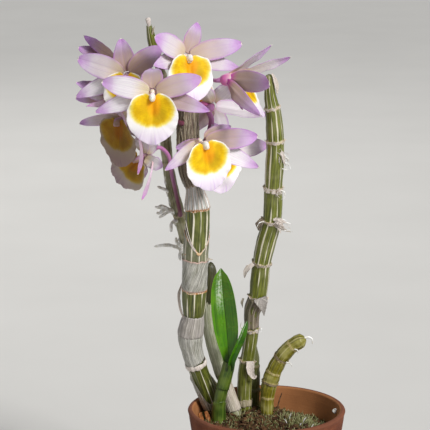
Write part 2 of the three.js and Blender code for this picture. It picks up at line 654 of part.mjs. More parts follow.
function makeFlower(name, spec) {
  const centre = new THREE.Vector3(...spec.at);
  const frame = flowerFrame(spec.facing);
  const mouth = lipFrame(frame, spec.lip.tilt ?? 0);
  const { radius, forward = lipForward, drop = 0, narrow = 1 } = spec.lip;
  const across = spec.broad ? 4 : 2;
  const place = (axes, up, out) => centre.clone().addScaledVector(axes.up, up).addScaledVector(axes.out, out);
  const pieces = [
    tepal(centre, frame, 'dorsal', spec.dorsal, across, 5),
    ...spec.sepals.map((shape) => tepal(centre, frame, 'sepal', shape, across, 5)),
    ...spec.petals.map((shape) => tepal(centre, frame, 'petal', shape, across, 5)),
    egg(place(frame, -0.3, -1.1), frame, [2.5, 3, 2.7]), // the hub, deep enough to be the chin as well
    egg(place(mouth, -0.6, 2.4), mouth, [1.3, 1.3, 3]), // the column
    egg(place(mouth, -2.8 - drop / 2, forward - 1.8), mouth, [1.1, 2.8 + drop / 2, 1.35]), // carries the lip
  ];
  const [stemName, height, bearing] = spec.seat;
  const reach = outerRadius(stemName, height) + gap + 0.15;
  const nearSeat = besideStem(stems[stemName], height + 0.5, bearing, reach + 2.5);
  const seat = besideStem(stems[stemName], height, bearing, reach);
  const route = [place(frame, -0.4, -2.6), place(frame, -0.8, -5), ...spec.via, nearSeat, seat];
  pieces.push(strand(route.map((p) => [...p]), pedicelRadius, 8, 5));
  addMesh(`flower_${name}`, geometryOf(fuse(pieces)), 'petal');
  addMesh(`lip_${name}`, lipSheet(place(mouth, 0.1 - radius - drop, forward), mouth, radius, narrow), 'lip');
}

Object.entries(flowers).forEach(([name, spec]) => makeFlower(name, spec));

// ---- pot and medium -------------------------------------------------------------------------

// Each stem stands in a plain hole that is a gap wider and deeper than it.
function stemHole(stem) {
  const rows = [
    [stemFoot - gap, stem.radiusAt(stemFoot) + gap + 0.2],
    [groundLine, stem.radiusAt(groundLine) + gap + 0.2],
  ];
  return solidOf(caneFromRows(stem, rows, 12));
}

addMesh('pot', geometryOf(makePot()), 'terracotta');
addMesh('potting_medium', geometryOf(makeMedium(Object.values(stems).map(stemHole))), 'bark');

export default group;
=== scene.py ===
# Dendrobium orchid in a terracotta pot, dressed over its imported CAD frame.
import bpy
import numpy as np
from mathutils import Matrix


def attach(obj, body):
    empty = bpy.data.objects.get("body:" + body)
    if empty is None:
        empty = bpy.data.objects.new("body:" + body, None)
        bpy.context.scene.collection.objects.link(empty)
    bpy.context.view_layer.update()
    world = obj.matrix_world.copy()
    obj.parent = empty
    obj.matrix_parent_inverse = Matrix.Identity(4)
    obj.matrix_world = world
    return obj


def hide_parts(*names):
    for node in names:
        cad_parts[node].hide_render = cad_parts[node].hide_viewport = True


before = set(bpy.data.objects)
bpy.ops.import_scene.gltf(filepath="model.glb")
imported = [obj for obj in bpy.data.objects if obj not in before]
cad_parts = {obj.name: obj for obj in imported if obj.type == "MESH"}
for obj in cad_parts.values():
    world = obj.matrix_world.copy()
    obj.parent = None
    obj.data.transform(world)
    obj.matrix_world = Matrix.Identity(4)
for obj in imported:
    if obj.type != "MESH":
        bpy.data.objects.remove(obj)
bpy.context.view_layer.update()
print("frame loaded:", len(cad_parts), "nodes")

mm = 0.001  # every shape below is worked out in millimetres
turn = 2 * np.pi


def unit(vectors):
    # each vector divided by its length
    return vectors / np.linalg.norm(vectors, axis=-1, keepdims=True)


def bell(x, centre, width):
    # exp(-((x - centre) / width)^2)
    return np.exp(-(((x - centre) / width) ** 2))


def ease(x, low, high):
    # 0 below low, 1 above high, and 3u^2 - 2u^3 between
    u = np.clip((x - low) / (high - low), 0, 1)
    return u * u * (3 - 2 * u)


def domed(x):
    # the square root of x held between 0 and 1, which rounds the end of a shape
    return np.sqrt(np.clip(x, 0, 1))


def around(count):
    # bearings at equal steps of a full turn
    return np.linspace(0, turn, count, endpoint=False)


def shares(count):
    # a column of equal steps from 0 to 1
    return np.linspace(0, 1, count)[:, None]


def readOff(at, places, rows):
    # every column of rows, interpolated at the places asked for
    return np.stack([np.interp(at, places, column) for column in np.asarray(rows, float).T], -1)


def waves(x, seed, low=1, high=9, fall=0.8):
    # sum of weight_k sin(k x + phase_k) / k^fall over whole numbers k, seeded, brought to about 1 high
    draw = np.random.default_rng(seed)
    order = np.arange(low, high + 1)
    weight = draw.uniform(0.4, 1, len(order)) / order**fall
    phase = draw.uniform(0, turn, len(order))
    total = np.sin(np.asarray(x)[..., None] * order + phase) @ weight
    return total / weight.sum() * 1.6


def smoothPath(points, count):
    # centripetal Catmull-Rom: a cubic on each span, its end slopes from the four nearest points
    # weighted by the square roots of their distances
    p = np.asarray(points, float)
    p = np.concatenate([[2 * p[0] - p[1]], p, [2 * p[-1] - p[-2]]])
    d = np.sqrt(np.linalg.norm(np.diff(p, axis=0), axis=1))[:, None]
    x0, x1, x2, x3 = p[:-3], p[1:-2], p[2:-1], p[3:]
    d0, d1, d2 = d[:-2], d[1:-1], d[2:]
    m1 = d1 * ((x1 - x0) / d0 - (x2 - x0) / (d0 + d1) + (x2 - x1) / d1)
    m2 = d1 * ((x2 - x1) / d1 - (x3 - x1) / (d1 + d2) + (x3 - x2) / d2)
    u = np.linspace(0, len(x1), count)
    k = np.minimum(u.astype(int), len(x1) - 1)
    w = (u - k)[:, None]
    square = (3 * (x2 - x1) - 2 * m1 - m2)[k]
    cube = (2 * (x1 - x2) + m1 + m2)[k]
    return x1[k] + m1[k] * w + square * w**2 + cube * w**3


def runOf(path):
    # length along a path, from its first point
    return np.concatenate([[0], np.cumsum(np.linalg.norm(np.diff(path, axis=0), axis=1))])


def evenPath(points, count):
    # the smooth path again, at equal steps of length
    dense = smoothPath(points, 600)
    run = runOf(dense)
    return readOff(np.linspace(0, run[-1], count), run, dense)


def wallFaces(index):
    # four-cornered faces between the rows of a grid of point numbers whose columns close on themselves
    beside = np.roll(index, -1, 1)
    return np.stack([index[:-1], beside[:-1], beside[1:], index[1:]], -1).reshape(-1, 4)


def skin(points, form, finish, wear=0.0, closed="ends"):
    # a grid of rows x columns x 3 points whose columns close on themselves. Each end row closes on
    # a point, or the last row joins the first. form is four numbers carried by each point. Faces
    # are reversed where the volume they enclose, the sum of a . (b x c) / 6, is negative
    rows, columns = points.shape[:2]
    index = np.arange(rows * columns).reshape(rows, columns)
    carried = np.stack([np.broadcast_to(np.asarray(f, float), (rows, columns)) for f in (*form, wear)], -1)
    points, carried = points.reshape(-1, 3), carried.reshape(-1, 5)
    if closed == "ring":
        faces = wallFaces(np.vstack([index, index[:1]]))
    else:
        foot, tip = np.full(columns, len(points)), np.full(columns, len(points) + 1)
        low = np.stack([np.roll(index[0], -1), index[0], foot, foot], -1)
        high = np.stack([index[-1], np.roll(index[-1], -1), tip, tip], -1)
        faces = np.concatenate([wallFaces(index), low, high])
        points, carried = (
            np.concatenate([grid, [grid[:columns].mean(0), grid[-columns:].mean(0)]])
            for grid in (points, carried)
        )
    a, b, c, d = (points[faces[:, k]] for k in range(4))
    if (a * np.cross(b, c)).sum() + (a * np.cross(c, d)).sum() < 0:
        faces = np.where(faces[:, 2:3] == faces[:, 3:], faces[:, [1, 0, 2, 3]], faces[:, ::-1])
    return points, faces, carried, finish, True


def addPiece(name, parts, node=None):
    # parts are joined into one mesh, in metres, which rides on the root and stands for its node:
    # the one whose name has the same words, unless another is given
    starts = np.cumsum([0] + [len(part[0]) for part in parts[:-1]])
    points = np.concatenate([part[0] for part in parts]) * mm
    faces = np.concatenate([part[1] + start for part, start in zip(parts, starts)])
    carried = np.concatenate([part[2] for part in parts])
    used = list(dict.fromkeys(part[3] for part in parts))
    kind = np.concatenate([np.full(len(part[1]), used.index(part[3])) for part in parts])
    smooth = np.concatenate([np.full(len(part[1]), part[4]) for part in parts])
    corner = np.ones(faces.shape, bool)
    corner[:, 3] = faces[:, 3] != faces[:, 2]
    ends = np.cumsum(corner.sum(1))
    mesh = bpy.data.meshes.new(name)
    mesh.vertices.add(len(points))
    mesh.vertices.foreach_set("co", points.ravel())
    mesh.loops.add(int(ends[-1]))
    mesh.loops.foreach_set("vertex_index", faces[corner].astype(np.int32))
    mesh.polygons.add(len(faces))
    mesh.polygons.foreach_set("loop_start", np.concatenate([[0], ends[:-1]]).astype(np.int32))
    mesh.polygons.foreach_set("material_index", kind.astype(np.int32))
    mesh.polygons.foreach_set("use_smooth", smooth)
    mesh.update(calc_edges=True)
    mesh.attributes.new("form", "FLOAT_COLOR", "POINT").data.foreach_set("color", carried[:, :4].ravel())
    mesh.attributes.new("wear", "FLOAT", "POINT").data.foreach_set("value", carried[:, 4].copy())
    mesh.validate()
    for finish in used:
        mesh.materials.append(finishes[finish])
    piece = bpy.data.objects.new(name, mesh)
    bpy.context.scene.collection.objects.link(piece)
    node = node or "".join("_" + letter.lower() if letter.isupper() else letter for letter in name)
    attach(piece, "root")
    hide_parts(node)
    return piece


def shade(code):
    # "c98a6b" as linear red, green, blue and 1
    part = np.array([int(code[k:k + 2], 16) for k in (0, 2, 4)]) / 255
    linear = np.where(part <= 0.04045, part / 12.92, ((part + 0.055) / 1.055) ** 2.4)
    return (*linear.tolist(), 1.0)


class Value:
    # a number, place or colour that varies over a surface: arithmetic on it adds Math nodes
    def __init__(self, paint, socket):
        self.paint = paint
        self.socket = socket

    def __add__(self, other):
        return self.paint.math("ADD", self, other)

    def __sub__(self, other):
        return self.paint.math("SUBTRACT", self, other)

    def __rsub__(self, other):
        return self.paint.math("SUBTRACT", other, self)

    def __mul__(self, other):
        return self.paint.math("MULTIPLY", self, other)

    def __truediv__(self, other):
        return self.paint.math("DIVIDE", self, other)

    __radd__ = __add__
    __rmul__ = __mul__


class Paint:
    def __init__(self, name):
        self.material = bpy.data.materials.new(name)
        self.material.use_nodes = True
        self.tree = self.material.node_tree
        metres = self.node("ShaderNodeTexCoord", output="Object")
        self.place = self.node("ShaderNodeVectorMath", {"operation": "SCALE"}, {0: metres, "Scale": 1 / mm})
        self.form = self.node("ShaderNodeAttribute", {"attribute_name": "form"}, output="Vector")
        self.extra = self.node("ShaderNodeAttribute", {"attribute_name": "form"}, output="Alpha")
        self.wear = self.node("ShaderNodeAttribute", {"attribute_name": "wear"}, output="Fac")

    def feed(self, socket, value):
        # a link from a value, or a constant, which is a colour where it is text
        if isinstance(value, Value):
            self.tree.links.new(value.socket, socket)
        else:
            socket.default_value = shade(value) if isinstance(value, str) else value

    def node(self, kind, settings={}, inputs=(), output=0):
        # any node: its settings, what feeds its inputs by number or name, and the output wanted
        made = self.tree.nodes.new(kind)
        for key, value in settings.items():
            setattr(made, key, value)
        for key, value in (inputs.items() if isinstance(inputs, dict) else enumerate(inputs)):
            self.feed(made.inputs[key], value)
        return Value(self, made.outputs[output])

    def math(self, operation, *values):
        return self.node("ShaderNodeMath", {"operation": operation}, values)

    def vector(self, operation, *values):
        return self.node("ShaderNodeVectorMath", {"operation": operation}, values)

    def split(self, vector):
        return [self.node("ShaderNodeSeparateXYZ", {}, [vector], k) for k in range(3)]

    def noise(self, vector, scale, detail=3, roughness=0.55):
        # scale is one number, or one for each axis
        if isinstance(scale, tuple):
            vector, scale = self.vector("MULTIPLY", vector, scale), 1
        inputs = {"Vector": vector, "Scale": scale, "Detail": detail, "Roughness": roughness}
        return self.node("ShaderNodeTexNoise", {}, inputs)

    def ease(self, value, low, high):
        # the same rise from low to high as ease() above
        inputs = {"Value": value, "From Min": low, "From Max": high}
        return self.node("ShaderNodeMapRange", {"interpolation_type": "SMOOTHSTEP"}, inputs)

    def mix(self, share, under, over, how="MIX"):
        settings = {"data_type": "RGBA", "blend_type": how}
        return self.node("ShaderNodeMix", settings, {0: share, 6: under, 7: over}, 2)

    def over(self, share, tint, how="MIX"):
        # a share of the tint laid on the colour so far
        self.colour = self.mix(share, self.colour, tint, how)

    def bump(self, height, depth):
        # depth is how many millimetres a height of 1 stands up
        inputs = {"Height": height, "Distance": depth * mm, "Strength": 1.0}
        return self.node("ShaderNodeBump", {}, inputs, "Normal")

    def finish(self, roughness, normal, **others):
        # everything is fed to the shader's own inputs, named with _ for a space
        shader = self.tree.nodes["Principled BSDF"]
        inputs = {"Base_Color": self.colour, "Roughness": roughness, "Normal": normal, **others}
        for key, value in inputs.items():
            self.feed(shader.inputs[key.replace("_", " ")], value)
        return self.material


def clayPaint(name):
    # red clay: blotches, pores, throwing lines, pale bloom, algae low on the inner wall, and the inner wall
    # painted lighter and more orange as painted light
    p = Paint(name)
    x, y, z = p.split(p.place)
    inside = p.split(p.form)[0]
    blotch = p.noise(p.place, 0.09, 4, 0.6)
    grain = p.noise(p.place, 2.2, 3, 0.7)
    bloom = p.ease(p.noise(p.place, 0.06, 5, 0.7) + 0.2 * grain, 0.62, 0.8)
    algae = p.ease(60 - z + 7 * p.noise(p.place, 0.22, 4, 0.6) - 0.1 * x - 0.06 * y, 9, 16) * inside
    p.colour = p.mix(p.ease(blotch, 0.3, 0.7), "582c1b", "7e472f")
    p.over(p.ease(grain, 0.35, 0.75) * 0.3, "965f44")
    p.over(p.ease(z, 59.6, 61.4) * 0.4, "80533e")
    p.over(bloom * 0.1, "b0907a")
    # painted light: the inner wall lighter and more orange than the outside
    p.over(inside * 0.85, p.mix(blotch, "94603a", "be8250"))
    p.over(algae * 0.7, p.mix(p.noise(p.place, 0.9), "4a3f20", "756a3c"))
    p.over(p.ease(z, 6, -1) * 0.3, "633a2a")
    rings = p.noise(p.place, (0.04, 0.04, 1.1), 2)
    normal = p.bump(grain * 0.5 + rings * 0.6 + blotch, 0.16)
    return p.finish(0.82 + 0.12 * blotch, normal, Specular_IOR_Level=0.25)


def barkPaint(name, dark, light, pale):
    # bark, lighter or darker by place, with pale fibres
    p = Paint(name)
    blotch = p.noise(p.place, 0.45, 4, 0.6)
    fibre = p.noise(p.place, (2.4, 2.4, 0.6))
    p.colour = p.mix(p.ease(blotch, 0.35, 0.65), dark, light)
    p.over(p.ease(fibre, 0.55, 0.75) * 0.45, pale)
    return p.finish(0.85, p.bump(fibre + blotch, 0.35), Specular_IOR_Level=0.2)


def mossPaint(name):
    # moss strands, dark green to straw by strand, brown in patches, paler at their tips
    p = Paint(name)
    _, along, pick = p.split(p.form)
    p.colour = p.mix(pick, "353d18", "87864a")
    p.over(p.ease(p.noise(p.place, 0.14), 0.47, 0.6) * 0.6, "4b3923")
    p.over(along * p.ease(pick, 0.35, 1.0), "b4b48a")
    return p.finish(0.85, p.bump(p.noise(p.place, 5, 2), 0.1), Specular_IOR_Level=0.15)


veinCount = 10  # how many pale veins run up a cane


def veinWave(p):
    # cos(count x bearing - phase), where form holds the bearing's sine and cosine, and the phase last
    sine, cosine, _ = p.split(p.form)
    return p.math("COSINE", veinCount * p.math("ARCTAN2", sine, cosine) - p.extra)


def canePaint(name, tones, lines, bloomShare):
    # a jointed cane: dark streaks down its length, pale veins of uneven width, rings where it is worn.
    # form holds the sine and cosine of the bearing, the height, and the phase of the veins
    p = Paint(name)
    dark, light, bloom, pale, rust = tones.split()
    streak = p.noise(p.form, (9, 9, 0.12), 3, 0.6)
    fine = p.noise(p.form, (26, 26, 0.25), 2)
    broad = p.noise(p.place, 0.13)
    slow = p.noise(p.form, (2.4, 2.4, 0.05), 2)
    band = veinWave(p) + 0.3 * (streak - 0.5) + 2.0 * (slow - 0.5) + 0.3 * (broad - 0.5)
    vein = p.ease(band, 0.85, 1.05) * lines
    ring = p.ease(p.wear + 0.9 * (p.noise(p.place, 1.3) - 0.5), 0.4, 0.75)
    p.colour = p.mix(p.ease(streak, 0.34, 0.66), dark, light)
    p.over(p.ease(fine, 0.4, 0.26) * 0.55, dark)
    p.over(p.ease(broad, 0.45, 0.66) * bloomShare, bloom)
    p.over(p.ease(band, 0.5, 0.9) * 0.25, bloom)
    p.over(vein, pale)
    p.over(ring * 0.85, p.mix(p.ease(fine, 0.4, 0.7), rust, pale))
    normal = p.bump(streak * 0.5 + fine * 0.3 + vein * 0.5 + 0.3 * broad, 0.25)
    return p.finish(0.42 + 0.3 * ring, normal, Coat_Weight=0.15, Coat_Roughness=0.3)


def paperPaint(name, tones, lines, through, rough):
    # a dry papery sheath: fibres along it, pale ribs, the stem's colour showing through in patches,
    # and another colour at its torn edges
    p = Paint(name)
    dark, light, under, pale, ribTone, edge = tones.split()
    streak = p.noise(p.form, (12, 12, 0.14), 4, 0.65)
    fine = p.noise(p.form, (40, 40, 0.3), 2)
    broad = p.noise(p.form, (1.6, 1.6, 0.16))
    rib = p.ease(veinWave(p) + 0.6 * (streak - 0.5), 0.74, 0.98) * lines
    p.colour = p.mix(p.ease(streak, 0.34, 0.64), dark, light)
    p.over(p.ease(broad, 0.42, 0.62) * through, under)
    p.over(p.ease(fine, 0.5, 0.72) * 0.6, pale)
    p.over(rib, ribTone)
    p.over(p.ease(p.wear + 0.7 * (streak - 0.5), 0.3, 0.85), edge)
    return p.finish(
        rough + 0.25 * (streak - 0.5), p.bump(streak + fine * 0.5 + rib * 0.5, 0.25), Sheen_Weight=0.1,
        Specular_IOR_Level=0.5, Coat_Weight=0.2, Coat_Roughness=0.35,
    )


def rootPaint(name):
    # white corky roots with grey scuffs, brown where form's third number says
    p = Paint(name)
    patch = p.noise(p.place, 0.8, 4, 0.65)
    p.colour = p.mix(p.ease(patch, 0.35, 0.65), "d6d1c4", "ffffff")
    p.over(p.split(p.form)[2] * 0.85, "3f3122")
    return p.finish(0.85, p.bump(patch, 0.15), Specular_IOR_Level=0.2)


def leafPaint(name, tones, gloss):
    # a green blade: midrib, parallel veins that meet at the tip, the right half a little darker as
    # painted shade, pale margins as a painted highlight, and a painted highlight of waxy shine in flecks on
    # the upper left
    p = Paint(name)
    dark, light, fresh, ribTone, foot = tones.split()
    across, along, _ = p.split(p.form)
    vein = p.noise(p.form, (16, 0.8, 0), 2)
    cloud = p.noise(p.place, 0.12)
    middle = p.ease(across * across, 0.003, 0.0)
    beam = p.ease(across, -0.02, -0.12) * p.ease(across, -0.75, -0.4)
    paintedGloss = beam * p.ease(along, 0.5, 0.8) * p.ease(vein + 0.9 * p.noise(p.place, 1.1), 0.8, 1.15)
    p.colour = p.mix(p.ease(vein, 0.35, 0.65), dark, light)
    p.over(p.ease(cloud, 0.4, 0.65) * 0.5, fresh)
    # painted shade: the right half darker
    p.over(p.ease(across, -0.02, 0.06) * 0.45, dark)
    p.over(p.ease(along, 0.26, 0.04) * 0.7, foot)
    p.over(middle * 0.6, foot)
    # painted highlight: the margins paler
    p.over(p.ease(across * across, 0.93, 1.0) * 0.6, ribTone)
    # painted highlight: waxy shine in pale flecks on the upper left half
    p.over(paintedGloss * 0.75, "dfe8d6")
    return p.finish(
        gloss + 0.14 * cloud, p.bump(vein * 0.5 + cloud * 0.8 - middle * 0.6, 0.22), Subsurface_Weight=0.04,
        Subsurface_Scale=0.002, Coat_Weight=0.2, Coat_Roughness=0.16, Specular_IOR_Level=0.3,
    )


def paintedGlow(p, dusk):
    # a painted glow: a little of a thin petal's own colour given off as light, where its painted shade is
    # below 0
    light = p.mix(p.ease(dusk, 0, -1), "000000", p.colour)
    return {"Emission_Color": light, "Emission_Strength": 0.4, "Subsurface_Scale": 0.002}


def tepalPaint(name):
    # cream at the foot, white along the middle, lavender to purple at the margin and tip, fine
    # veins, a pale point at the end. A tepal's painted shade is form's third number: up to 1 it paints
    # the tepal in shade, beige and mauve, and from 1 to 2 deeper painted shade, greyer and darker.
    # Below 0 it takes the cream away and the tepal glows with painted light
    p = Paint(name)
    across, along, dusk = p.split(p.form)
    vein = p.noise(p.form, (26, 0.7, 3), 2, 0.5)
    cloud = p.noise(p.place, 0.16)
    margin = p.ease(across * across + 0.6 * (cloud - 0.5), 0.45, 1.05)
    hem = p.ease(across * across + 0.3 * (cloud - 0.5), 0.72, 1.0) * p.ease(along, 0.05, 0.45)
    tip = p.ease(along + 0.35 * (cloud - 0.5), 0.56, 1.0)
    tint = p.math("MAXIMUM", margin * (0.4 + 0.5 * tip), 0.82 * tip)
    # painted shade: a tepal in shade turns beige at the foot and mauve towards the tip
    shaded = p.mix(p.ease(along + 0.3 * (cloud - 0.5), 0.3, 0.85), "a78976", "8f7292")
    p.colour = p.mix(p.ease(along, 0.4, 0.05) * p.ease(dusk, -1, 0), "f7f1f5", "f0deb6")
    p.over(dusk * p.ease(along, 1.15, 0.5), shaded)
    p.over(p.ease(vein, 0.46, 0.62) * 0.22, "ad8cba")
    p.over(tint, p.mix(cloud, "c088d2", "a757b4"))
    p.over(hem * 0.45, "b068c6")
    p.over(p.ease(along, 0.968, 0.99), "f1e9d8")
    p.over(p.wear * 0.9, "e04cbc")
    # deeper painted shade, greyer and darker, where painted shade runs from 1 to 2
    p.over(p.ease(dusk, 1, 2), "8a8690", "MULTIPLY")
    return p.finish(
        0.42 + 0.12 * vein, p.bump(vein * 0.7 + 0.4 * cloud, 0.14), Subsurface_Weight=0.15,
        Subsurface_Radius=(1.0, 0.7, 0.9), Specular_IOR_Level=0.35, **paintedGlow(p, dusk),
    )


def lipPaint(name):
    # form holds the place on the lip, in radii to the right and up, and the share of the way out:
    # a golden patch up to the margin above and lobed below, orange by the notch, olive painted shade
    # of the channel right of the middle, and a white hem with lavender rays that fan out from the notch.
    # Its painted shade is form's fourth number: above 0 it darkens the lip, below 0 it glows with painted
    # light
    p = Paint(name)
    right, up, share = p.split(p.form)
    sideways = right * right
    cloud = p.noise(p.place, 0.35)
    heading = p.vector("NORMALIZE", p.vector("MULTIPLY_ADD", p.form, (1, 1, 0), (0, -0.5, 0)))
    ray = p.noise(heading, 8, 3, 0.6)
    high = up - 0.32
    dip = p.ease(sideways, 0.03, 0.0) * p.ease(up, 0.0, -0.3)
    edge = sideways / 0.76 + (high * high) / 0.5 + 0.12 * dip + 0.24 * (ray - 0.5) + 0.14 * (cloud - 0.5)
    within = p.math("MAXIMUM", p.ease(share, 0.99, 0.93), p.ease(sideways, 0.16, 0.06))
    within = within * p.ease(up, -0.62, -0.28)
    aside = right - 0.06
    near = p.ease(aside * aside * 2 + (up - 0.5) * (up - 0.5) * 0.8, 0.26, 0.0)
    # olive painted shade of the lip's channel, right of the middle
    olive = p.ease((right - 0.3) * (right - 0.3) * 1.6 + (up - 0.12) * (up - 0.12), 0.2, 0.0)
    hem = p.ease(up + 0.5 * (ray - 0.5), -0.3, -0.95)
    p.colour = p.mix(p.ease(cloud, 0.35, 0.7), "e0b000", "f3c904")
    p.over(p.ease(ray, 0.55, 0.42) * 0.14, "c79300")
    p.over(olive * 0.6, "a88200")
    p.over(near * 0.65, "f09200")
    yellow = p.colour
    p.colour = p.mix(hem * 0.36, "f6f1f0", "c8a0dc")
    p.over(p.ease(ray, 0.5, 0.62) * hem * 0.45, "b584d2")
    p.over(p.ease(edge, 1.22, 0.84) * within, "f4e26a")
    p.over(p.ease(edge, 1.03, 0.6) * within, yellow)
    # painted shade: the lip darkened by form's fourth number
    p.over(p.extra, "a08f80", "MULTIPLY")
    return p.finish(
        0.55 + 0.1 * ray, p.bump(ray * 0.8 + p.noise(p.place, 4, 2) * 0.5, 0.16), Subsurface_Weight=0.06,
        Subsurface_Radius=(1.0, 0.8, 0.6), Specular_IOR_Level=0.25, **paintedGlow(p, p.extra),
    )


def columnPaint(name):
    # white with cream by form's third number, magenta where it is worn at the back
    p = Paint(name)
    cloud = p.noise(p.place, 0.9)
    p.colour = p.mix(p.ease(cloud, 0.3, 0.7), "efe4dc", "fffaf4")
    p.over(p.split(p.form)[2] * 0.8, "e6c795")
    p.over(p.wear * 0.85, "dc4fb4")
    return p.finish(0.38, p.bump(cloud, 0.1), Subsurface_Weight=0.2, Subsurface_Scale=0.0015, Coat_Weight=0.2)


def stalkPaint(name):
    # a flower stalk, maroon at its foot, pink-mauve by the flower, finely ribbed
    p = Paint(name)
    streak = p.noise(p.form, (5, 6, 0))
    p.colour = p.mix(p.ease(p.split(p.form)[1] + 0.4 * (streak - 0.5), 0.85, 0.2), "74394e", "c07cb2")
    p.over(p.ease(streak, 0.5, 0.8) * 0.35, "d9b0cf")
    return p.finish(0.45, p.bump(streak, 0.1), Subsurface_Weight=0.1, Subsurface_Scale=0.001)


def floorPaint(name):
    # an even pale floor, faintly clouded
    p = Paint(name)
    p.colour = p.mix(p.noise(p.place, 0.01, 2), "d6d4cf", "dfddd8")
    return p.finish(0.8, p.bump(p.noise(p.place, 0.4, 2), 0.02), Specular_IOR_Level=0.1)


paints = {
    "terracotta": (clayPaint,), "moss": (mossPaint,), "dryRoot": (rootPaint,), "tepal": (tepalPaint,),
    "lip": (lipPaint,), "column": (columnPaint,), "stalk": (stalkPaint,), "paleFloor": (floorPaint,),
    # the slabs' light orange is partly real bark and partly painted light of the lit inner wall
    "bark": (barkPaint, "2b1b10", "66482e", "94734c"), "litBarkSlab": (barkPaint, "6a3c1e", "a96c3c", "cf9c68"),
    # dark, light, bloom, vein and ring colours, then the strength of the veins and of the bloom
    "greenCane": (canePaint, "2b3109 6a7026 83844a f0e8d4 c27a34", 0.9, 0.3),
    "rightCane": (canePaint, "41460a 7a8024 92925e e9e0cb b59a72", 0.8, 0.3),
    "smallCane": (canePaint, "524c08 8f8822 a49e5a d2c896 a08a4a", 0.4, 0.75),
    "oldCane": (canePaint, "4a4628 8f8a5e b8b498 cfc9b2 a08f70", 0.2, 0.6),
    "paleCane": (canePaint, "62663c 9c9c78 c4c1b0 dcd7c8 a88f70", 0.4, 0.6),
    "stubCane": (canePaint, "363c14 6a6e34 7d7d5a 8a8766 6d5a3e", 0.1, 0.4),
    "darkCane": (canePaint, "26260f 4b4a22 55533a 5f5c3e 4d4530", 0.1, 0.3),
    "shootSkin": (canePaint, "223806 3e5a0c 7a8c34 6b8a2c 8ea044", 0.15, 0.4),
    # dark, light, under, fibre, rib and edge colours, then strengths of ribs and under, and roughness
    "silverPaper": (paperPaint, "6a6d60 f4f5f2 666a4c fbfbf8 ffffff c07f3c", 1.0, 0.35, 0.36),
    # its near-white edge colour lays a painted highlight on the torn foot of the lower sheath
    "striatedPaper": (paperPaint, "7d7b70 c2c0b8 75755a e9e7e0 e4dfd2 f1ebdf", 0.3, 0.3, 0.3),
    "greyPaper": (paperPaint, "625f54 c4c1b7 65674a f2f0e8 d8d2c2 cda79a", 0.12, 0.4, 0.36),
    "lilacPaper": (paperPaint, "857d78 b5ada6 6f6d57 d3ccc6 dfd8ce c68a4e", 0.5, 0.3, 0.42),
    "brownPaper": (paperPaint, "382a1c 84725a 4c3830 eadfc8 e0d5be a8947a", 0.4, 0.6, 0.6),
    "tornPaper": (paperPaint, "9b8d7b cdc1b1 a39c80 e6ddd0 ece3d6 d3b19c", 0.2, 0.5, 0.6),
    "strawPaper": (paperPaint, "8f8266 c3b597 75704a ddd2b8 ddd4c0 9a8460", 0.3, 0.4, 0.6),
    "clearPaper": (paperPaint, "5f6142 8c8a6a 4f5428 aaa78e ebe2ce cf8f50", 0.9, 0.5, 0.4),
    "olivePaper": (paperPaint, "9a9c78 cbccb2 80844e e2e2d0 e6e4d0 b89468", 0.4, 0.4, 0.5),
    "huskPaper": (paperPaint, "4c3f30 887866 5f6234 bfb09a d0c4ac b8a58a", 0.5, 0.35, 0.55),
    "whitePaper": (paperPaint, "c9b8ac f2e8de d6c6b8 fff8f0 fff8f0 e6c9b6", 0.2, 0.3, 0.6),
    "callusPaper": (paperPaint, "cc9450 f1e0c0 e0a656 fff3de fff6e6 da8c38", 0.3, 0.5, 0.5),
    # dark, light, fresh, rib and foot colours, then gloss; the rib colour is laid on the margins as a painted
    # highlight
    "leafSkin": (leafPaint, "316400 518f00 689f02 9ac44a 1f3c02", 0.2),
    "foldSkin": (leafPaint, "1d4602 3a7a04 5fa00a 7cb53a 122a04", 0.3),
}
finishes = {name: paint(name, *how) for name, (paint, *how) in paints.items()}
print("materials made")


def spun(first, second, angle):
    # two square directions, turned together by an angle from the first towards the second
    return first * np.cos(angle) + second * np.sin(angle), second * np.cos(angle) - first * np.sin(angle)


def spread(path, cross, normal, x, y):
    # each point of a path, moved by x and y along its own two square directions
    return path[:, None] + cross[:, None] * x[..., None] + normal[:, None] * y[..., None]


def placed(centre, axes, *amounts):
    # centre + right x + up y + out z
    for axis, amount in zip(axes, amounts):
        centre = centre + axis * np.asarray(amount)[..., None]
    return centre


def rounded(front, power):
    # sign(front) |front|^power: the two faces of a flat section whose edge is round
    return np.sign(front) * np.abs(front) ** power


def strandSkin(path, radius, finish, sides=12, ribs=0.0, seed=1, wear=0.0, pick=0.0):
    # a round strand: rings square to the path, each from a direction in the plane that fits it best
    along = unit(np.gradient(path, axis=0))
    flat = np.linalg.svd(path - path.mean(0))[2][-1]
    side = unit(np.cross(flat, along))
    angle = around(sides)
    r = np.broadcast_to(radius, len(path))[:, None] * (1 + ribs * waves(6 * angle, seed, 1, 3))
    points = spread(path, side, np.cross(along, side), r * np.cos(angle), r * np.sin(angle))
    return skin(points, [np.sin(angle)[None], shares(len(path)), pick, 0], finish, wear)


def rootSkin(points, radius=0.45, seed=1, pick=0.0, finish="dryRoot"):
    # a knobbly root that thins towards its tip
    share = np.linspace(0, 1, 40)
    r = radius * (1 - 0.45 * share**2) * (1 + 0.18 * waves(9 * share, seed)) * domed((1.02 - share) * 12)
    return strandSkin(evenPath(points, 40), r, finish, 10, pick=pick)


def curlSkin(points, radius=0.3, seed=1, finish="dryRoot"):
    # a torn fibre that curls off a sheath, thinning to its tip
    share = np.linspace(0, 1, 26)
    r = radius * (1 - 0.7 * share) * (1 + 0.15 * waves(8 * share, seed))
    return strandSkin(evenPath(points, 26), r, finish, 7)


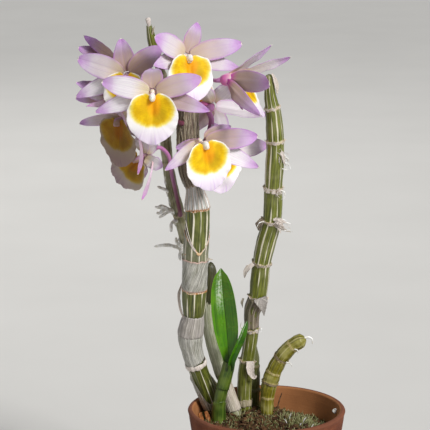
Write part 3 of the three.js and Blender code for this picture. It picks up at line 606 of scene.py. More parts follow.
def tuftParts(root, reach, count, seed):
    # a tuft of thin torn fibres: each walks from the root in six seeded steps, by about reach in all
    draw = np.random.default_rng(seed)
    steps = np.array(reach) / 5 * draw.uniform(0.2, 1.3, (count, 1, 1)) + draw.normal(0, 0.62, (count, 6, 3))
    paths = np.array(root) + np.cumsum(steps, 1) - steps[:, :1] * 0.7
    return [curlSkin(path, draw.uniform(0.12, 0.26), seed + k, "whitePaper") for k, path in enumerate(paths)]


def eggPart(centre, axes, radii, finish, wear=0.0, pick=0.0, dents=0.0, seed=1):
    # an egg on three axes, its surface dented by slow waves. wear is for its back, fading to the front
    rise = np.linspace(-0.49, 0.49, 16)[:, None] * np.pi
    angle = around(24)
    r = 1 + dents * waves(angle + 2 * rise, seed, 1, 5)
    x, y = radii[0] * r * np.cos(rise) * np.cos(angle), radii[1] * r * np.cos(rise) * np.sin(angle)
    z = radii[2] * r * np.sin(rise)
    # eggs in the tepal finish read as a tepal's foot, so painted shade on a column comes out beige
    level = (rise / np.pi + 0.5) * (0.2 if finish == "tepal" else 1)
    form = [np.sin(angle)[None], level, pick, 0]
    return skin(placed(centre, axes, x, y, z), form, finish, wear * ease(rise, 0.5, -0.4))


def bladeSkin(points, halfWidth, facing, finish, thickness=0.25, cup=0.2, twist=0.0, ruffle=0.0, seed=1,
              wear=0.0):
    # a flat blade along a path: its section is a thin ellipse, cupped by a square law towards facing,
    # and its half width is given at even steps of length
    path = evenPath(points, 40)
    along = unit(np.gradient(path, axis=0))
    t = shares(40)
    cross = unit(np.cross(np.asarray(facing, float), along))
    cross, normal = spun(cross, np.cross(along, cross), np.radians(twist) * t)
    section = around(20)
    s = -np.cos(section)
    half = np.interp(t, np.linspace(0, 1, len(halfWidth)), halfWidth)
    ragged = waves(5 * t + 2 * np.sign(s), seed, 1, 9) if ruffle else 0
    half = half * (1 + 0.14 * ragged)
    rise = cup * half * s**2 + ruffle * waves(4 * t + 0.5 * s, seed) * s**2
    rise = rise + thickness / 2 * rounded(np.sin(section), 0.7)
    return skin(spread(path, cross, normal, half * s, rise), [s[None], t, 0, 0], finish, wear)


pot = {
    "height": 62, "rimRadius": 33.6, "footRadius": 23.5, "wall": 2.6, "floor": 4, "drainRadius": 3,
    "drainCircle": 13, "drains": 3, "sides": 160, "floorRings": 14, "wallRings": 40, "rimRings": 12,
}


def potOuter(height):
    # the outer radius grows evenly from foot to rim
    return pot["footRadius"] + (pot["rimRadius"] - pot["footRadius"]) * height / pot["height"]


def potSkin():
    # a profile of radius and height turned about the axis: up the wall, over a half-round rim and
    # down the inside, each radius changed a little by slow waves of bearing and height
    edge = pot["wall"] / 2
    foot, brim, rings = pot["footRadius"], pot["height"] - edge, pot["floorRings"]
    rimAngle = np.linspace(0, np.pi, pot["rimRings"] + 1)[1:]
    wallUp = np.linspace(0.9, brim, pot["wallRings"])
    wallDown = np.linspace(brim, pot["floor"] + 2, 34)[1:]
    floorRadius = potOuter(pot["floor"]) - pot["wall"]
    radius = np.concatenate([
        np.linspace(0.5, foot - 0.9, rings), [foot - 0.3, potOuter(0.4)], potOuter(wallUp),
        pot["rimRadius"] - edge + edge * np.cos(rimAngle), potOuter(wallDown) - pot["wall"],
        [floorRadius - 1.2], np.linspace(floorRadius - 2.4, 0.5, rings),
    ])
    height = np.concatenate([
        np.zeros(rings), [0.08, 0.4], wallUp, brim + edge * np.sin(rimAngle), wallDown,
        [pot["floor"] + 0.6], np.full(rings, pot["floor"]),
    ])
    inside = np.arange(len(radius)) > rings + 2 + pot["wallRings"] + pot["rimRings"] / 2
    bearing = around(pot["sides"])
    wobble = 0.12 * np.sin(2 * bearing + 0.6) + 0.05 * waves(bearing, 3, 3, 9)
    lathe = 0.05 * np.sin(1.9 * height) + 0.04 * np.sin(0.7 * height + 1)
    r = radius[:, None] + ease(height, 2, 8)[:, None] * (wobble + lathe[:, None])
    level = np.repeat(height[:, None], len(bearing), 1)
    points = np.stack([r * np.cos(bearing), r * np.sin(bearing), level], -1)
    return skin(points, [inside[:, None], 0, 0, 0], "terracotta")


def cutDrains(piece):
    # round holes through the floor of the pot
    for k in range(pot["drains"]):
        angle = turn * k / pot["drains"] + np.pi / 6
        bpy.ops.mesh.primitive_cylinder_add(
            vertices=36, radius=pot["drainRadius"] * mm, depth=12 * mm,
            location=(pot["drainCircle"] * np.cos(angle) * mm, pot["drainCircle"] * np.sin(angle) * mm, 0),
        )
        drill = bpy.context.object
        cut = piece.modifiers.new("drain", "BOOLEAN")
        cut.operation, cut.object, cut.solver = "DIFFERENCE", drill, "EXACT"
        bpy.context.view_layer.objects.active = piece
        bpy.ops.object.modifier_apply(modifier=cut.name)
        bpy.data.objects.remove(drill)


cutDrains(addPiece("potClay", [potSkin()], "pot"))
print("pot done")


medium = {
    "level": 54.9, "low": 4.3, "sunk": 4.6, "reach": 29.6, "sides": 144, "rings": 52, "chips": 420,
    "strands": 4200, "seed": 11,
}


def mediumTop(x, y):
    # a low mound round the canes plus lumps of bark, sunk towards the back right
    mound = 1.6 * bell(np.hypot(x + 8, y - 8), 0, np.sqrt(260))
    lumps = 0.55 * np.sin(0.62 * x + 1) * np.sin(0.7 * y) + 0.35 * np.sin(1.3 * x - 0.9 * y + 2)
    return medium["level"] + mound + 0.02 * y + lumps - medium["sunk"] * ease(0.8 * x + 0.6 * y, 8, 26)


def fillRadius(height):
    # the fill stops just inside the wall
    return potOuter(height) - pot["wall"] - 0.15


def mediumSkin():
    # bottom, side and top of the fill, turned about the axis; the top follows mediumTop with crumbs
    bearing = around(medium["sides"])
    low, rings, level = medium["low"], medium["rings"], fillRadius(medium["level"])
    brim = mediumTop(level * np.cos(bearing), level * np.sin(bearing))
    side = low + 3 + shares(12) * (brim - 1.2 - low - 3)
    base = np.repeat([[1.0], [12.0], [fillRadius(low) - 3]], len(bearing), 1)
    radius = np.concatenate([base, fillRadius(side), np.linspace(1, 0.02, rings)[:, None] * fillRadius(brim)])
    x, y = radius * np.cos(bearing), radius * np.sin(bearing)
    crumbs = 0.35 * np.sin(2.3 * x + 1.1 * y) * np.sin(1.9 * y - 0.8 * x)
    crumbs = crumbs + 0.25 * np.sin(4.1 * x) * np.sin(3.7 * y + 1)
    z = np.concatenate([np.full(base.shape, low), side, (mediumTop(x, y) + crumbs)[-rings:]])
    return skin(np.stack([x, y, z], -1), [0, 0, 0, 0], "bark")


def scatter(count, seed, reach):
    # seeded places spread evenly over a disc
    draw = np.random.default_rng(seed)
    r = reach * np.sqrt(draw.uniform(0, 1, count))
    a = draw.uniform(0, turn, count)
    return draw, r * np.cos(a), r * np.sin(a)


def turns(draw, count, tiltMost):
    # seeded rotations: a spin about the axis, then a lean of up to tiltMost radians towards any side
    spin, lean, side = (draw.uniform(0, most, count) for most in (turn, tiltMost, turn))
    c, s = np.cos(spin), np.sin(spin)
    zero, one = np.zeros(count), np.ones(count)
    first = np.array([[c, -s, zero], [s, c, zero], [zero, zero, one]]).transpose(2, 0, 1)
    x, y = np.cos(side), np.sin(side)
    k = np.array([[zero, zero, y], [zero, zero, -x], [-y, x, zero]]).transpose(2, 0, 1)
    tilt = np.eye(3) + np.sin(lean)[:, None, None] * k + (1 - np.cos(lean))[:, None, None] * (k @ k)
    return tilt @ first


def manyOf(grid, caps, rotations, sizes, places, form, finish, smooth):
    # copies of one small shape, a grid of rings with capped ends, each scaled, turned and moved
    template = grid.reshape(-1, 3)
    faces = np.concatenate([wallFaces(np.arange(len(template)).reshape(grid.shape[:2])), caps])
    points = np.einsum("nij,nkj->nki", rotations, template * sizes[:, None, :]) + places[:, None, :]
    everyFace = faces[None] + (np.arange(len(places)) * len(template))[:, None, None]
    return points.reshape(-1, 3), everyFace.reshape(-1, 4), form.reshape(-1, 5), finish, smooth


def chipParts():
    # angular bark chips: a bevelled block of four rings of six corners, each chip scaled and tilted
    count, reach = medium["chips"], medium["reach"]
    draw, x, y = scatter(count, medium["seed"], 29.3)
    angle = around(6)
    rings = [(0.6, -1), (1.0, -0.55), (0.95, 0.5), (0.5, 1)]
    grid = np.array([np.stack([r * np.cos(angle), r * np.sin(angle), np.full(6, h)], -1) for r, h in rings])
    caps = np.array([[3, 2, 1, 0], [5, 4, 3, 0], [18, 19, 20, 21], [18, 21, 22, 23]])
    spans = [(0.7, 2.3), (0.5, 1.4), (0.25, 0.6)]
    sizes = np.stack([draw.uniform(least, most, count) for least, most in spans], -1)
    keep = np.hypot(x, y) < reach - sizes[:, 0]
    rotations = turns(draw, count, 0.9)
    places = np.stack([x, y, mediumTop(x, y) + draw.uniform(-0.1, 0.7, count)], -1)
    form = np.zeros((keep.sum(), 24, 5))
    return manyOf(grid, caps, rotations[keep], sizes[keep], places[keep], form, "bark", False)


def mossParts(count, seed, reach, middle, longest, light):
    # moss: three-sided strands that lean over, longer at the right. light is the least of their tones
    draw, x, y = scatter(count, seed, reach)
    x, y = x + middle[0], y + middle[1]
    level, angle = shares(4), around(3)
    width = 0.5 * (1 - 0.7 * level)
    columns = [width * np.cos(angle) + 0.7 * level**2, width * np.sin(angle), np.repeat(level, 3, 1)]
    caps = np.array([[2, 1, 0, 0], [9, 10, 11, 11]])
    length = draw.uniform(0.6, longest, count) * (1 + 0.4 * ease(x, 2, 20))
    thick = draw.uniform(0.26, 0.6, count)
    sizes = np.stack([thick * 1.4, thick, length], -1)
    bare = bell(np.hypot(x + 2, y + 14), 0, 9) * 0.75  # the crumbs in front of the canes stay in view
    keep = (draw.uniform(0, 1, count) > bare) & (np.hypot(x, y) < medium["reach"])
    places = np.stack([x, y, mediumTop(x, y) - 0.3], -1)
    form = np.zeros((count, 12, 5))
    form[:, :, 1] = np.repeat(level[:, 0], 3)
    form[:, :, 2] = draw.uniform(light, 1, count)[:, None]
    rotations = turns(draw, count, 1.45)
    kept = (each[keep] for each in (rotations, sizes, places, form))
    return manyOf(np.stack(columns, -1), caps, *kept, "moss", True)


uprightBits = [
    [(9.5, 1, 55), (9.9, 0.6, 57.4), (10.6, 0.4, 59.4)], [(8.6, -3, 55), (8.3, -3.4, 56.8), (7.6, -3.6, 58)],
    [(15.5, 0, 54.8), (16.1, -0.3, 56.6), (17, -0.4, 57.8)],
    [(14, -4, 54.6), (14.4, -4.4, 56), (15.3, -4.6, 56.8)],
    [(18.6, -8, 54.4), (19, -8.2, 56), (19.8, -8, 57.2)],
]
addPiece("barkAndMoss", [
    mediumSkin(),
    chipParts(),
    mossParts(medium["strands"], medium["seed"] + 1, medium["reach"], (0, 0), 2.1, 0),
    mossParts(260, medium["seed"] + 2, 8, (14, 3), 4.2, 0.5),
    mossParts(90, medium["seed"] + 3, 5, (22, -8), 3.6, 0.5),
    *[rootSkin(points, 0.27, 40 + k, 0.35) for k, points in enumerate(uprightBits)],
    rootSkin([(5.4, 14, 54.6), (5.2, 14.4, 57), (6, 18, 59.4), (7.4, 24, 61.2)], 0.3, 50, 1.0, "bark"),
    rootSkin([(-27, -3, 54.4), (-24, -8, 55.8), (-19, -12, 55.2), (-13, -14, 54.8)], 0.55, 51, 0.6),
    eggPart(np.array([29.6, 5, 58.8]), np.eye(3), (1.1, 1.05, 1), "dryRoot", pick=0.3, dents=0.3, seed=7),
    # bark slabs leaning on the inner wall: their light orange is partly real bark and partly painted light on
    # the wall
    bladeSkin([(-27.2, -4.4, 54), (-27.9, -4, 57.4), (-28.6, -3.8, 60.8)], [1.2, 1.7, 1.6, 1.1],
              (0.9, -0.5, 0), "litBarkSlab", 1.1, 0.1, ruffle=0.25, seed=12),
    bladeSkin([(-24.6, 0.6, 54), (-25.2, 1.4, 57), (-26, 2, 59.6)], [0.9, 1.3, 1.1, 0.6], (0.6, -0.8, 0),
              "litBarkSlab", 0.9, 0.1, ruffle=0.25, seed=13),
], "potting_medium")
print("bark and moss done")


stemFoot = 44
# line: a cane's centre. girth: heights and radii. skin: what caneSkin asks for, with phase in degrees
canes = {
    "main": {
        "line": [
            (-20.5, 12.4, 40), (-22.6, 11.4, 57), (-24.5, 10, 63), (-29, 6.3, 76.5), (-31.5, 4.3, 85),
            (-32.5, 3, 93), (-31.2, 1.5, 102), (-30.8, -1, 114), (-30.1, -3, 130), (-29.3, -3, 148),
            (-30.3, -2.5, 157), (-32.8, 0, 168), (-33.2, 1, 180), (-33.2, 3, 194), (-33.7, 3.5, 204),
        ],
        "girth": [
            (44, 3.3), (58.6, 3.5), (61, 3.6), (62, 3.95), (63, 3.65), (78, 4.1), (79, 4.45), (79.7, 3.3),
            (86, 3.4), (90.5, 4.1), (94, 4.3), (97.5, 4.3), (100, 4.1), (102.6, 4.2), (104.4, 4.6), (108, 5),
            (113.4, 5.3), (114.6, 5.4), (115.8, 4.9), (122, 4.9), (129.2, 5), (130.6, 5.15), (139, 5.05),
            (148.8, 5), (150, 4.85), (151.2, 4.5), (153.5, 4.2), (156.4, 3.4), (160, 2.9), (165, 3.1),
            (174, 3.2), (184, 3.1), (191.4, 3), (192.5, 3.6), (193.6, 3.3), (197.5, 2.8), (200.5, 1.7),
        ],
        "skin": {
            "top": 200.5, "joints": [62, 79.6, 114.6, 130.4, 149.4, 192.5],
            "phases": [15, 15, 3, 5, 17, 28, 10], "rows": 360, "sides": 88, "flare": 0.1, "swell": 0,
            "ridge": 0.022, "ringWidth": 0.42, "finish": "greenCane",
        },
    },
    "tall": {
        "line": [
            (-17, 17.6, 40), (-19.2, 17.6, 57), (-20.8, 18.3, 62), (-24.8, 19.2, 67.5), (-29.4, 20, 75),
            (-32, 18, 90), (-32.5, 17.5, 108), (-34.4, 16, 131), (-37.2, 15, 143), (-40, 14, 154),
            (-42, 13, 166), (-43, 12, 180), (-43.4, 11, 193), (-44, 10, 204), (-47.1, 9, 214.5),
            (-48.8, 8, 222), (-50.1, 8, 230),
        ],
        "girth": [
            (44, 2.5), (90, 2.7), (150, 2.5), (180, 2.2), (204, 1.7), (214, 1.5), (221, 1.05), (228.5, 1),
        ],
        "skin": {
            "top": 222.5, "joints": [74, 98, 120, 143, 166, 186, 204],
            "phases": [0, 9, 20, 5, 31, 12, 25, 4], "rows": 300, "sides": 52, "rough": 0.09, "seed": 8,
            "finish": "oldCane",
        },
    },
    "back": {
        "line": [
            (-10.5, 5, 40), (-13.4, 7.4, 57), (-15.3, 9, 62.5), (-17.3, 10.5, 68), (-19.4, 12, 74),
            (-21.3, 14, 81.5), (-23.3, 15, 89), (-24.6, 15.3, 97), (-24.7, 15.3, 106), (-23.8, 15.3, 120),
            (-24.4, 14.6, 136),
        ],
        "girth": [(44, 2.4), (60, 2.5), (74, 2.4), (82, 3), (95, 2.7), (114, 2.6), (122, 1.7)],
        "skin": {
            "top": 118.5, "joints": [72, 90], "phases": [0, 14, 30], "rows": 160, "sides": 52,
            "flare": 0.25, "seed": 12, "rough": 0.05, "finish": "paleCane",
        },
    },
    "right": {
        "line": [
            (-9.4, 14, 40), (-9.3, 14, 57), (-9.3, 14, 64), (-8.9, 13.5, 74), (-7.6, 13, 82),
            (-6.4, 11.5, 92), (-6, 10.5, 102), (-3.9, 9.5, 108), (-3, 8.8, 116), (-2.3, 8, 123),
            (-0.6, 7, 132), (2, 5.2, 143),
            (2.5, 3.5, 158), (3.1, 2, 175), (2.2, 1, 189), (0.8, 0.4, 197), (0.2, 0, 207),
        ],
        "girth": [
            (44, 2.9), (64, 3), (76, 3.1), (84, 2.9), (92, 3), (97, 2.9), (104, 3.5), (108, 3.8), (122, 3.8),
            (137, 4), (150, 3.8), (176, 3.7), (190, 3.2), (199, 2.2), (206, 1.6),
        ],
        "skin": {
            "top": 206, "joints": [78.8, 93.4, 108.2, 123.6, 142.6, 157, 177.4, 191.6],
            "phases": [8, 22, 0, 30, 12, 26, 6, 18, 34], "rows": 370, "sides": 76, "flare": 0.25,
            "swell": 0.04, "seed": 16, "ringWidth": 0.8, "rough": 0.05, "finish": "rightCane",
        },
    },
    "small": {
        "line": [
            (0.2, 10, 40), (0.3, 10, 57), (0.9, 10, 66.5), (3.2, 9.6, 75), (6.7, 8.6, 82), (10.1, 7.7, 86.3),
            (13.5, 7, 89), (15.6, 6.7, 90), (17.2, 6.5, 90.6),
        ],
        "girth": [(44, 2.5), (60, 2.8), (70, 3.4), (80, 3.2), (86, 3.1), (89, 3.1), (90.4, 2.8)],
        "skin": {
            "top": 90.5, "joints": [63.5, 70.5, 75, 81, 87.2], "phases": [10, 30, 4, 22, 12, 28],
            "rows": 240, "sides": 72, "flare": 0.1, "swell": 0.06, "seed": 20, "rough": 0.07,
            "finish": "smallCane",
        },
    },
    "stub": {
        "line": [(-4.4, 19.2, 40), (-4.8, 19.1, 57), (-4.9, 19, 66), (-5, 18.5, 78), (-5.3, 17.9, 88)],
        "girth": [(44, 2.2), (60, 2.4), (72, 2.4), (80, 2), (84.5, 1.2)],
        "skin": {
            "top": 84.5, "joints": [64, 75], "phases": [0, 20, 9], "rows": 160, "sides": 56, "flare": 0.25,
            "seed": 24, "rough": 0.06, "finish": "stubCane",
        },
    },
    "shoot": {
        "line": [
            (-20.2, 0.6, 40), (-20.4, 1.6, 57), (-20.2, 2, 63), (-18.4, 2, 71.5), (-16.4, 2, 79),
            (-15.2, 2, 87),
        ],
        "girth": [(44, 2.6), (57, 2.9), (63, 2.5), (72, 2.5), (79, 2.3), (84, 1.8)],
        "skin": {
            "top": 80.5, "joints": [63, 72.3], "phases": [0, 12, 22], "rows": 160, "sides": 56,
            "flare": 0.15, "swell": 0.04, "ridge": 0.004, "seed": 28, "rough": 0.02, "finish": "shootSkin",
        },
    },
}


def makeStem(points, girth):
    # a rising centreline, with its length, direction and two square directions at each sample
    path = smoothPath(points, 900)
    along = unit(np.gradient(path, axis=0))
    side = unit(np.cross([0, 1, 0], along))
    back = np.cross(along, side)
    return {"run": runOf(path), "path": path, "side": side, "back": back, "girth": np.transpose(girth)}


stems = {name: makeStem(cane["line"], cane["girth"]) for name, cane in canes.items()}


def runAt(stem, height):
    # length along a stem where it reaches a height
    return np.interp(height, stems[stem]["path"][:, 2], stems[stem]["run"])


def onStem(stem, run, bearing, radius):
    # places round a stem, from length along it, bearing in radians from the front, and radius
    known = stems[stem]
    centre, side, back = (readOff(run, known["run"], known[key]) for key in ("path", "side", "back"))
    right, front = radius * np.sin(bearing), radius * np.cos(bearing)
    return centre + side * right[..., None] - back * front[..., None]


def besideStem(stem, height, bearing, reach):
    # a point outside a stem. Bearing 0 is the front and 90 the right
    return onStem(stem, runAt(stem, height), np.radians(bearing), reach)


def laidStrand(stem, heights, bearings, reaches, radius, finish, sides=5, count=14):
    # a strand that lies along a stem, through places given by height, bearing and reach
    return strandSkin(evenPath(besideStem(stem, heights, bearings, reaches), count), radius, finish, sides)


def softened(values, rows):
    # running mean over a few rows, the ends held
    kernel = np.hanning(rows + 2)[1:-1]
    padded = np.pad(values, (rows // 2, rows - 1 - rows // 2), "edge")
    return np.convolve(padded, kernel / kernel.sum(), "valid")


def caneSkin(stem):
    # radius = girth (1 + swell sin^2 between joints) + a raised lip at each joint - a groove above it,
    # ridged round the stem and pitted by seeded waves, closing in a dome over the last girth
    how = {"flare": 0.3, "swell": 0.05, "ridge": 0.015, "rough": 0.03, "seed": 1, "ringWidth": 0.7}
    how = {**how, **canes[stem]["skin"]}
    run = np.linspace(runAt(stem, stemFoot), runAt(stem, how["top"]), how["rows"])
    height = np.interp(run, stems[stem]["run"], stems[stem]["path"][:, 2])
    bearing = around(how["sides"])
    at = runAt(stem, np.array(how["joints"]))
    distance = run[:, None] - at
    girth = np.interp(height, *stems[stem]["girth"])
    girth = softened(girth, max(3, int(how["rows"] * 0.9 / (run[-1] - run[0]))))
    span = np.interp(run, np.concatenate([[run[0]], at, [run[-1]]]), np.arange(len(at) + 2))
    girth = girth * (1 + how["swell"] * np.sin(np.pi * span) ** 2)
    girth = girth + how["flare"] * bell(distance, 0, how["ringWidth"]).sum(1)
    girth = girth - 0.3 * how["flare"] * bell(distance, 1.2, 0.5).sum(1)
    dome = domed((run[-1] - run) / (0.7 * girth[-1]))
    phase = np.radians(how["phases"])[np.searchsorted(at, run)] * veinCount
    pits = waves(bearing * 3, how["seed"], 1, 5) * np.sin(0.9 * run[:, None] + how["seed"])
    pits = pits + waves(run[:, None] / 2 + 0 * bearing, how["seed"] + 1)
    ridges = how["ridge"] * np.cos(veinCount * bearing - phase[:, None])
    r = girth[:, None] * (1 + ridges) + how["rough"] * pits
    points = onStem(stem, run[:, None], bearing, r * dome[:, None])
    ragged = distance[:, None, :] + 0.35 * waves(bearing, how["seed"] + 2, 2, 9, 0.4)[:, None]
    form = [np.sin(bearing), np.cos(bearing), height[:, None], phase[:, None]]
    return skin(points, form, how["finish"], bell(ragged, 0, how["ringWidth"]).sum(-1))


def sleeveSkin(stem, rows, finish, phase=0.0, tornTop=0.3, tornFoot=0.2, ribs=0.02, ribCount=24, wall=0.3,
               seed=1, topAt=None, footAt=None, tan=0.8, flare=0.22, lean=0.0, sides=112, step=0.5):
    # a paper sleeve from rows of height and outer radius: out along its length, over the torn rim and
    # back down inside. Each end's height is ragged, by waves of the bearing. lean is how far its
    # fibres turn round the stem in each millimetre
    rows = np.array(rows, float)
    bearing = around(sides)
    length = rows[-1, 0] - rows[0, 0]
    share = shares(max(8, int(length / step)))
    low = (footAt(bearing) if footAt else rows[0, 0]) + tornFoot * waves(bearing, seed, 2, 14, 0.4)
    high = (topAt(bearing) if topAt else rows[-1, 0]) + tornTop * waves(bearing, seed + 1, 2, 18, 0.3)
    height = low + (high - low) * share
    flutes = ribs * np.cos(ribCount * (bearing + lean * height) + 1.5 * waves(bearing, seed + 2, 1, 3))
    flutes = flutes + 0.5 * ribs * waves(bearing, seed + 3, 3, 30, 0.2)
    outer = np.interp(height, *rows.T) * (1 + flutes + 0.012 * np.sin(1.1 * height + 2 * bearing + seed))
    outer = outer + flare * ease(share, 0.9, 1) * (1 + waves(bearing, seed + 4, 2, 12, 0.3))
    thin = wall * np.minimum(1, 0.35 + 6 * np.minimum(share, 1 - share))
    both = np.concatenate([height, height[::-1]])
    r = np.concatenate([outer, (outer - thin)[::-1]])
    torn = tan * np.maximum(bell(share, 0, 0.8 / length), bell(share, 1, 0.8 / length))
    fibre = bearing + lean * both
    form = [np.sin(fibre), np.cos(fibre), both, np.radians(phase) * veinCount]
    points = onStem(stem, runAt(stem, both), bearing, r)
    return skin(points, form, finish, np.concatenate([torn, torn[::-1]]), "ring")


fork = {"height": 131.4, "bearing": 16}  # where the clear sheath opens


def sheathFork(bearing):
    # its upper edge: lowest at the fork and climbing to both sides
    away = np.abs((bearing - np.radians(fork["bearing"]) + np.pi) % turn - np.pi)
    return 131.8 + 6.8 * np.minimum(away / 1.3, 1.25) ** 1.05


def forkFibre(top, side):
    # a fibre from the fork to a height and bearing: the height climbs evenly, the bearing as its
    # 0.7th power, so it turns fastest at first
    climb = np.linspace(0, 1, 5)
    heights = fork["height"] + (top - fork["height"]) * climb
    bearings = fork["bearing"] + (side - fork["bearing"]) * climb**0.7
    return laidStrand("main", heights, bearings, 5.35, 0.17, "whitePaper")


forkBud = [
    (-30.6, -8.2, 133.6), (-29.6, -8.35, 132), (-28.7, -8.45, 131.3), (-27.7, -8.3, 131.9),
    (-26.9, -7.7, 133.2),
]
fibreEnds = [
    (141, -62), (138.5, -50), (143, -76), (136.5, -30), (134.6, -16), (145, -66), (137, 66), (140, 80),
]
addPiece("caneMain", [
    caneSkin("main"),
    sleeveSkin("main", [(127, 5.25), (129, 5.3), (132, 5.35), (141, 5.3)], "clearPaper", 17, 0.15,
               topAt=sheathFork, wall=0.25, ribs=0.006, seed=21, flare=0.08, tan=1.0),
    strandSkin(evenPath(forkBud, 22), 0.16 + 0.46 * bell(np.linspace(0, 1, 22), 0.5, 0.22), "callusPaper",
               12, 0.12, 3),
    *[forkFibre(*end) for end in fibreEnds],
    bladeSkin([(-36, 0.4, 116.6), (-37.3, 0, 112), (-36.9, -0.2, 106.6), (-35.2, 0, 100.8)],
              [0.2, 0.65, 0.6, 0.5, 0.15], (0.4, -1, 0), "whitePaper", 0.2, 0.4, 0, 0.16, 4, 0.4),
    sleeveSkin("main", [(59, 4.1), (63, 4.25), (72, 4.4), (78.6, 4.45)], "greyPaper", 40, seed=23, wall=0.2,
               topAt=lambda b: 62 + 14.5 * bell((b + 1.1 + np.pi) % turn - np.pi, 0, 0.6), tan=0.4,
               flare=0.1),
    sleeveSkin("main", [(78.9, 4.55), (80, 4.75), (81, 4.6)], "whitePaper", 12, 0.35, 0.35, 0.02, 14, 0.2, 25,
               tan=0.3, sides=88, step=0.25, flare=0.1),
])

sheaths = {
    "lower": {
        # tan lays the near-white edge colour on the torn ends: a painted highlight at the foot
        "rows": [(80.6, 4.3), (86, 4.45), (90.5, 5.05), (92.6, 5.3), (94.4, 5.15)],
        "finish": "striatedPaper", "phase": 12, "tornTop": 0.15, "tornFoot": 0.35, "ribs": 0.02,
        "ribCount": 20, "seed": 31, "flare": 0.0, "tan": 0.55, "footAt": lambda b: 80.9 + 1.1 * np.sin(b),
    },
    "middle": {
        "rows": [(115, 5.45), (116.8, 5.35), (122, 5.3), (128.4, 5.45)], "finish": "greyPaper", "phase": 10,
        "tornTop": 0.5, "tornFoot": 0.2, "ribs": 0.008, "ribCount": 26, "seed": 35, "lean": -0.06,
        "flare": 0.18,
    },
    "silver": {
        "rows": [(149.6, 5.3), (151, 5.15), (153.5, 4.65), (156, 3.9), (158.5, 3.4), (160.6, 3.3)],
        "phase": 28, "finish": "silverPaper", "tornTop": 0.1, "tornFoot": 0.4, "ribs": 0.03, "ribCount": 10,
        "seed": 39, "flare": 0.0,
    },
    "brown": {
        "rows": [(158.6, 3.5), (162, 3.9), (167, 4.3), (174, 4.35), (184, 4.3), (190.6, 4.2)], "phase": 5,
        "finish": "brownPaper", "tornTop": 0.9, "tornFoot": 0.9, "ribs": 0.035, "ribCount": 13, "seed": 43,
    },
}


def fibreParts(stem, count, low, high, reach, seed):
    # loose fibres that lie along a sheath, each wandering a little round and off it
    draw = np.random.default_rng(seed)
    made = []
    for k in range(count):
        foot = draw.uniform(low, high - 8)
        heights = np.linspace(foot, min(high, foot + draw.uniform(7, 16)), 6)
        bearings = draw.uniform(-180, 180) + np.cumsum(draw.uniform(-7, 7, 6))
        lift = np.interp(heights, (156, 160, 166), (3.5, 3.9, reach)) + draw.uniform(0, 0.3)
        lift = lift + np.array([0, 0.1, 0.15, 0.1, 0.1, draw.uniform(0, 0.5)])
        finish = "strawPaper" if k % 4 else "brownPaper"
        made.append(laidStrand(stem, heights, bearings, lift, draw.uniform(0.11, 0.2), finish, 4, 12))
    return made


def ribParts(stem, rows, count, seed):
    # pale ribs up a sheath, at uneven bearings, thinner to the top
    draw = np.random.default_rng(seed)
    heights = np.linspace(rows[0][0] + 0.3, rows[-1][0] - 0.8, 7)
    reaches = np.interp(heights, *np.transpose(rows)) + 0.05
    bearings = np.linspace(-180, 180, count, endpoint=False) + draw.uniform(-7, 7, count)
    taper = np.linspace(0.3, 0.13, 14)
    return [
        laidStrand(stem, heights, bearing + draw.uniform(-2, 2, 7), reaches, taper, "whitePaper", 6)
        for bearing in bearings
    ]


onSheath = {
    "lower": [
        sleeveSkin("main", [(93.6, 5.35), (94.8, 5.5), (98.4, 5.25), (101.4, 4.6), (103, 4.4)], "lilacPaper",
                   12, 0.35, 0.25, 0.01, seed=33, flare=0.0, tan=0.3),
    ],
    "middle": [
        bladeSkin([(-26, -5.4, 128), (-24.5, -5.4, 128.5), (-22.9, -5, 128.3)], [0.7, 0.5, 0.1], (0, -1, 0.4),
                  "tornPaper", 0.2, 0.3, seed=5, ruffle=0.1),
    ],
    "silver": ribParts("main", sheaths["silver"]["rows"], 17, 8),
    "brown": fibreParts("main", 130, 156.5, 190, 4.3, 6),
}
for name, sheath in sheaths.items():
    slot = "brown_sheath" if name == "brown" else "dry_sheath"
    addPiece("sheath" + name.capitalize(), [sleeveSkin("main", **sheath), *onSheath[name]])
print("main cane and sheaths done")

tallRoots = [
    [(-36, 15.6, 128), (-42, 13, 130.2), (-48, 11.4, 130)],
    [(-38, 14.6, 145), (-42.5, 12.4, 146), (-47.4, 11, 147.4)],
    [(-41, 13, 145.4), (-43.6, 11.4, 144), (-45.8, 11, 142.6)],
    [(-39.6, 14, 152), (-42.6, 12.6, 154.2), (-46.4, 11.8, 156)],
    [(-37.6, 14, 141), (-40.4, 11.6, 140), (-40.6, 11, 136.4)],
    [(-42, 12.6, 146), (-44.6, 11.6, 147.6), (-46, 11, 147.4)],
    [(-43.6, 12, 146.2), (-45.6, 11, 144.6), (-46.8, 11, 144.8)],
    [(-36, 14, 129.4), (-38.2, 11.6, 131.6), (-38.6, 11, 134)],
    [(-35.6, 14, 128.4), (-37, 11.4, 126.4), (-36.8, 11, 124)],
    [(-40, 14, 155.6), (-42.6, 12.6, 158.6), (-43, 12, 160.4)],
]
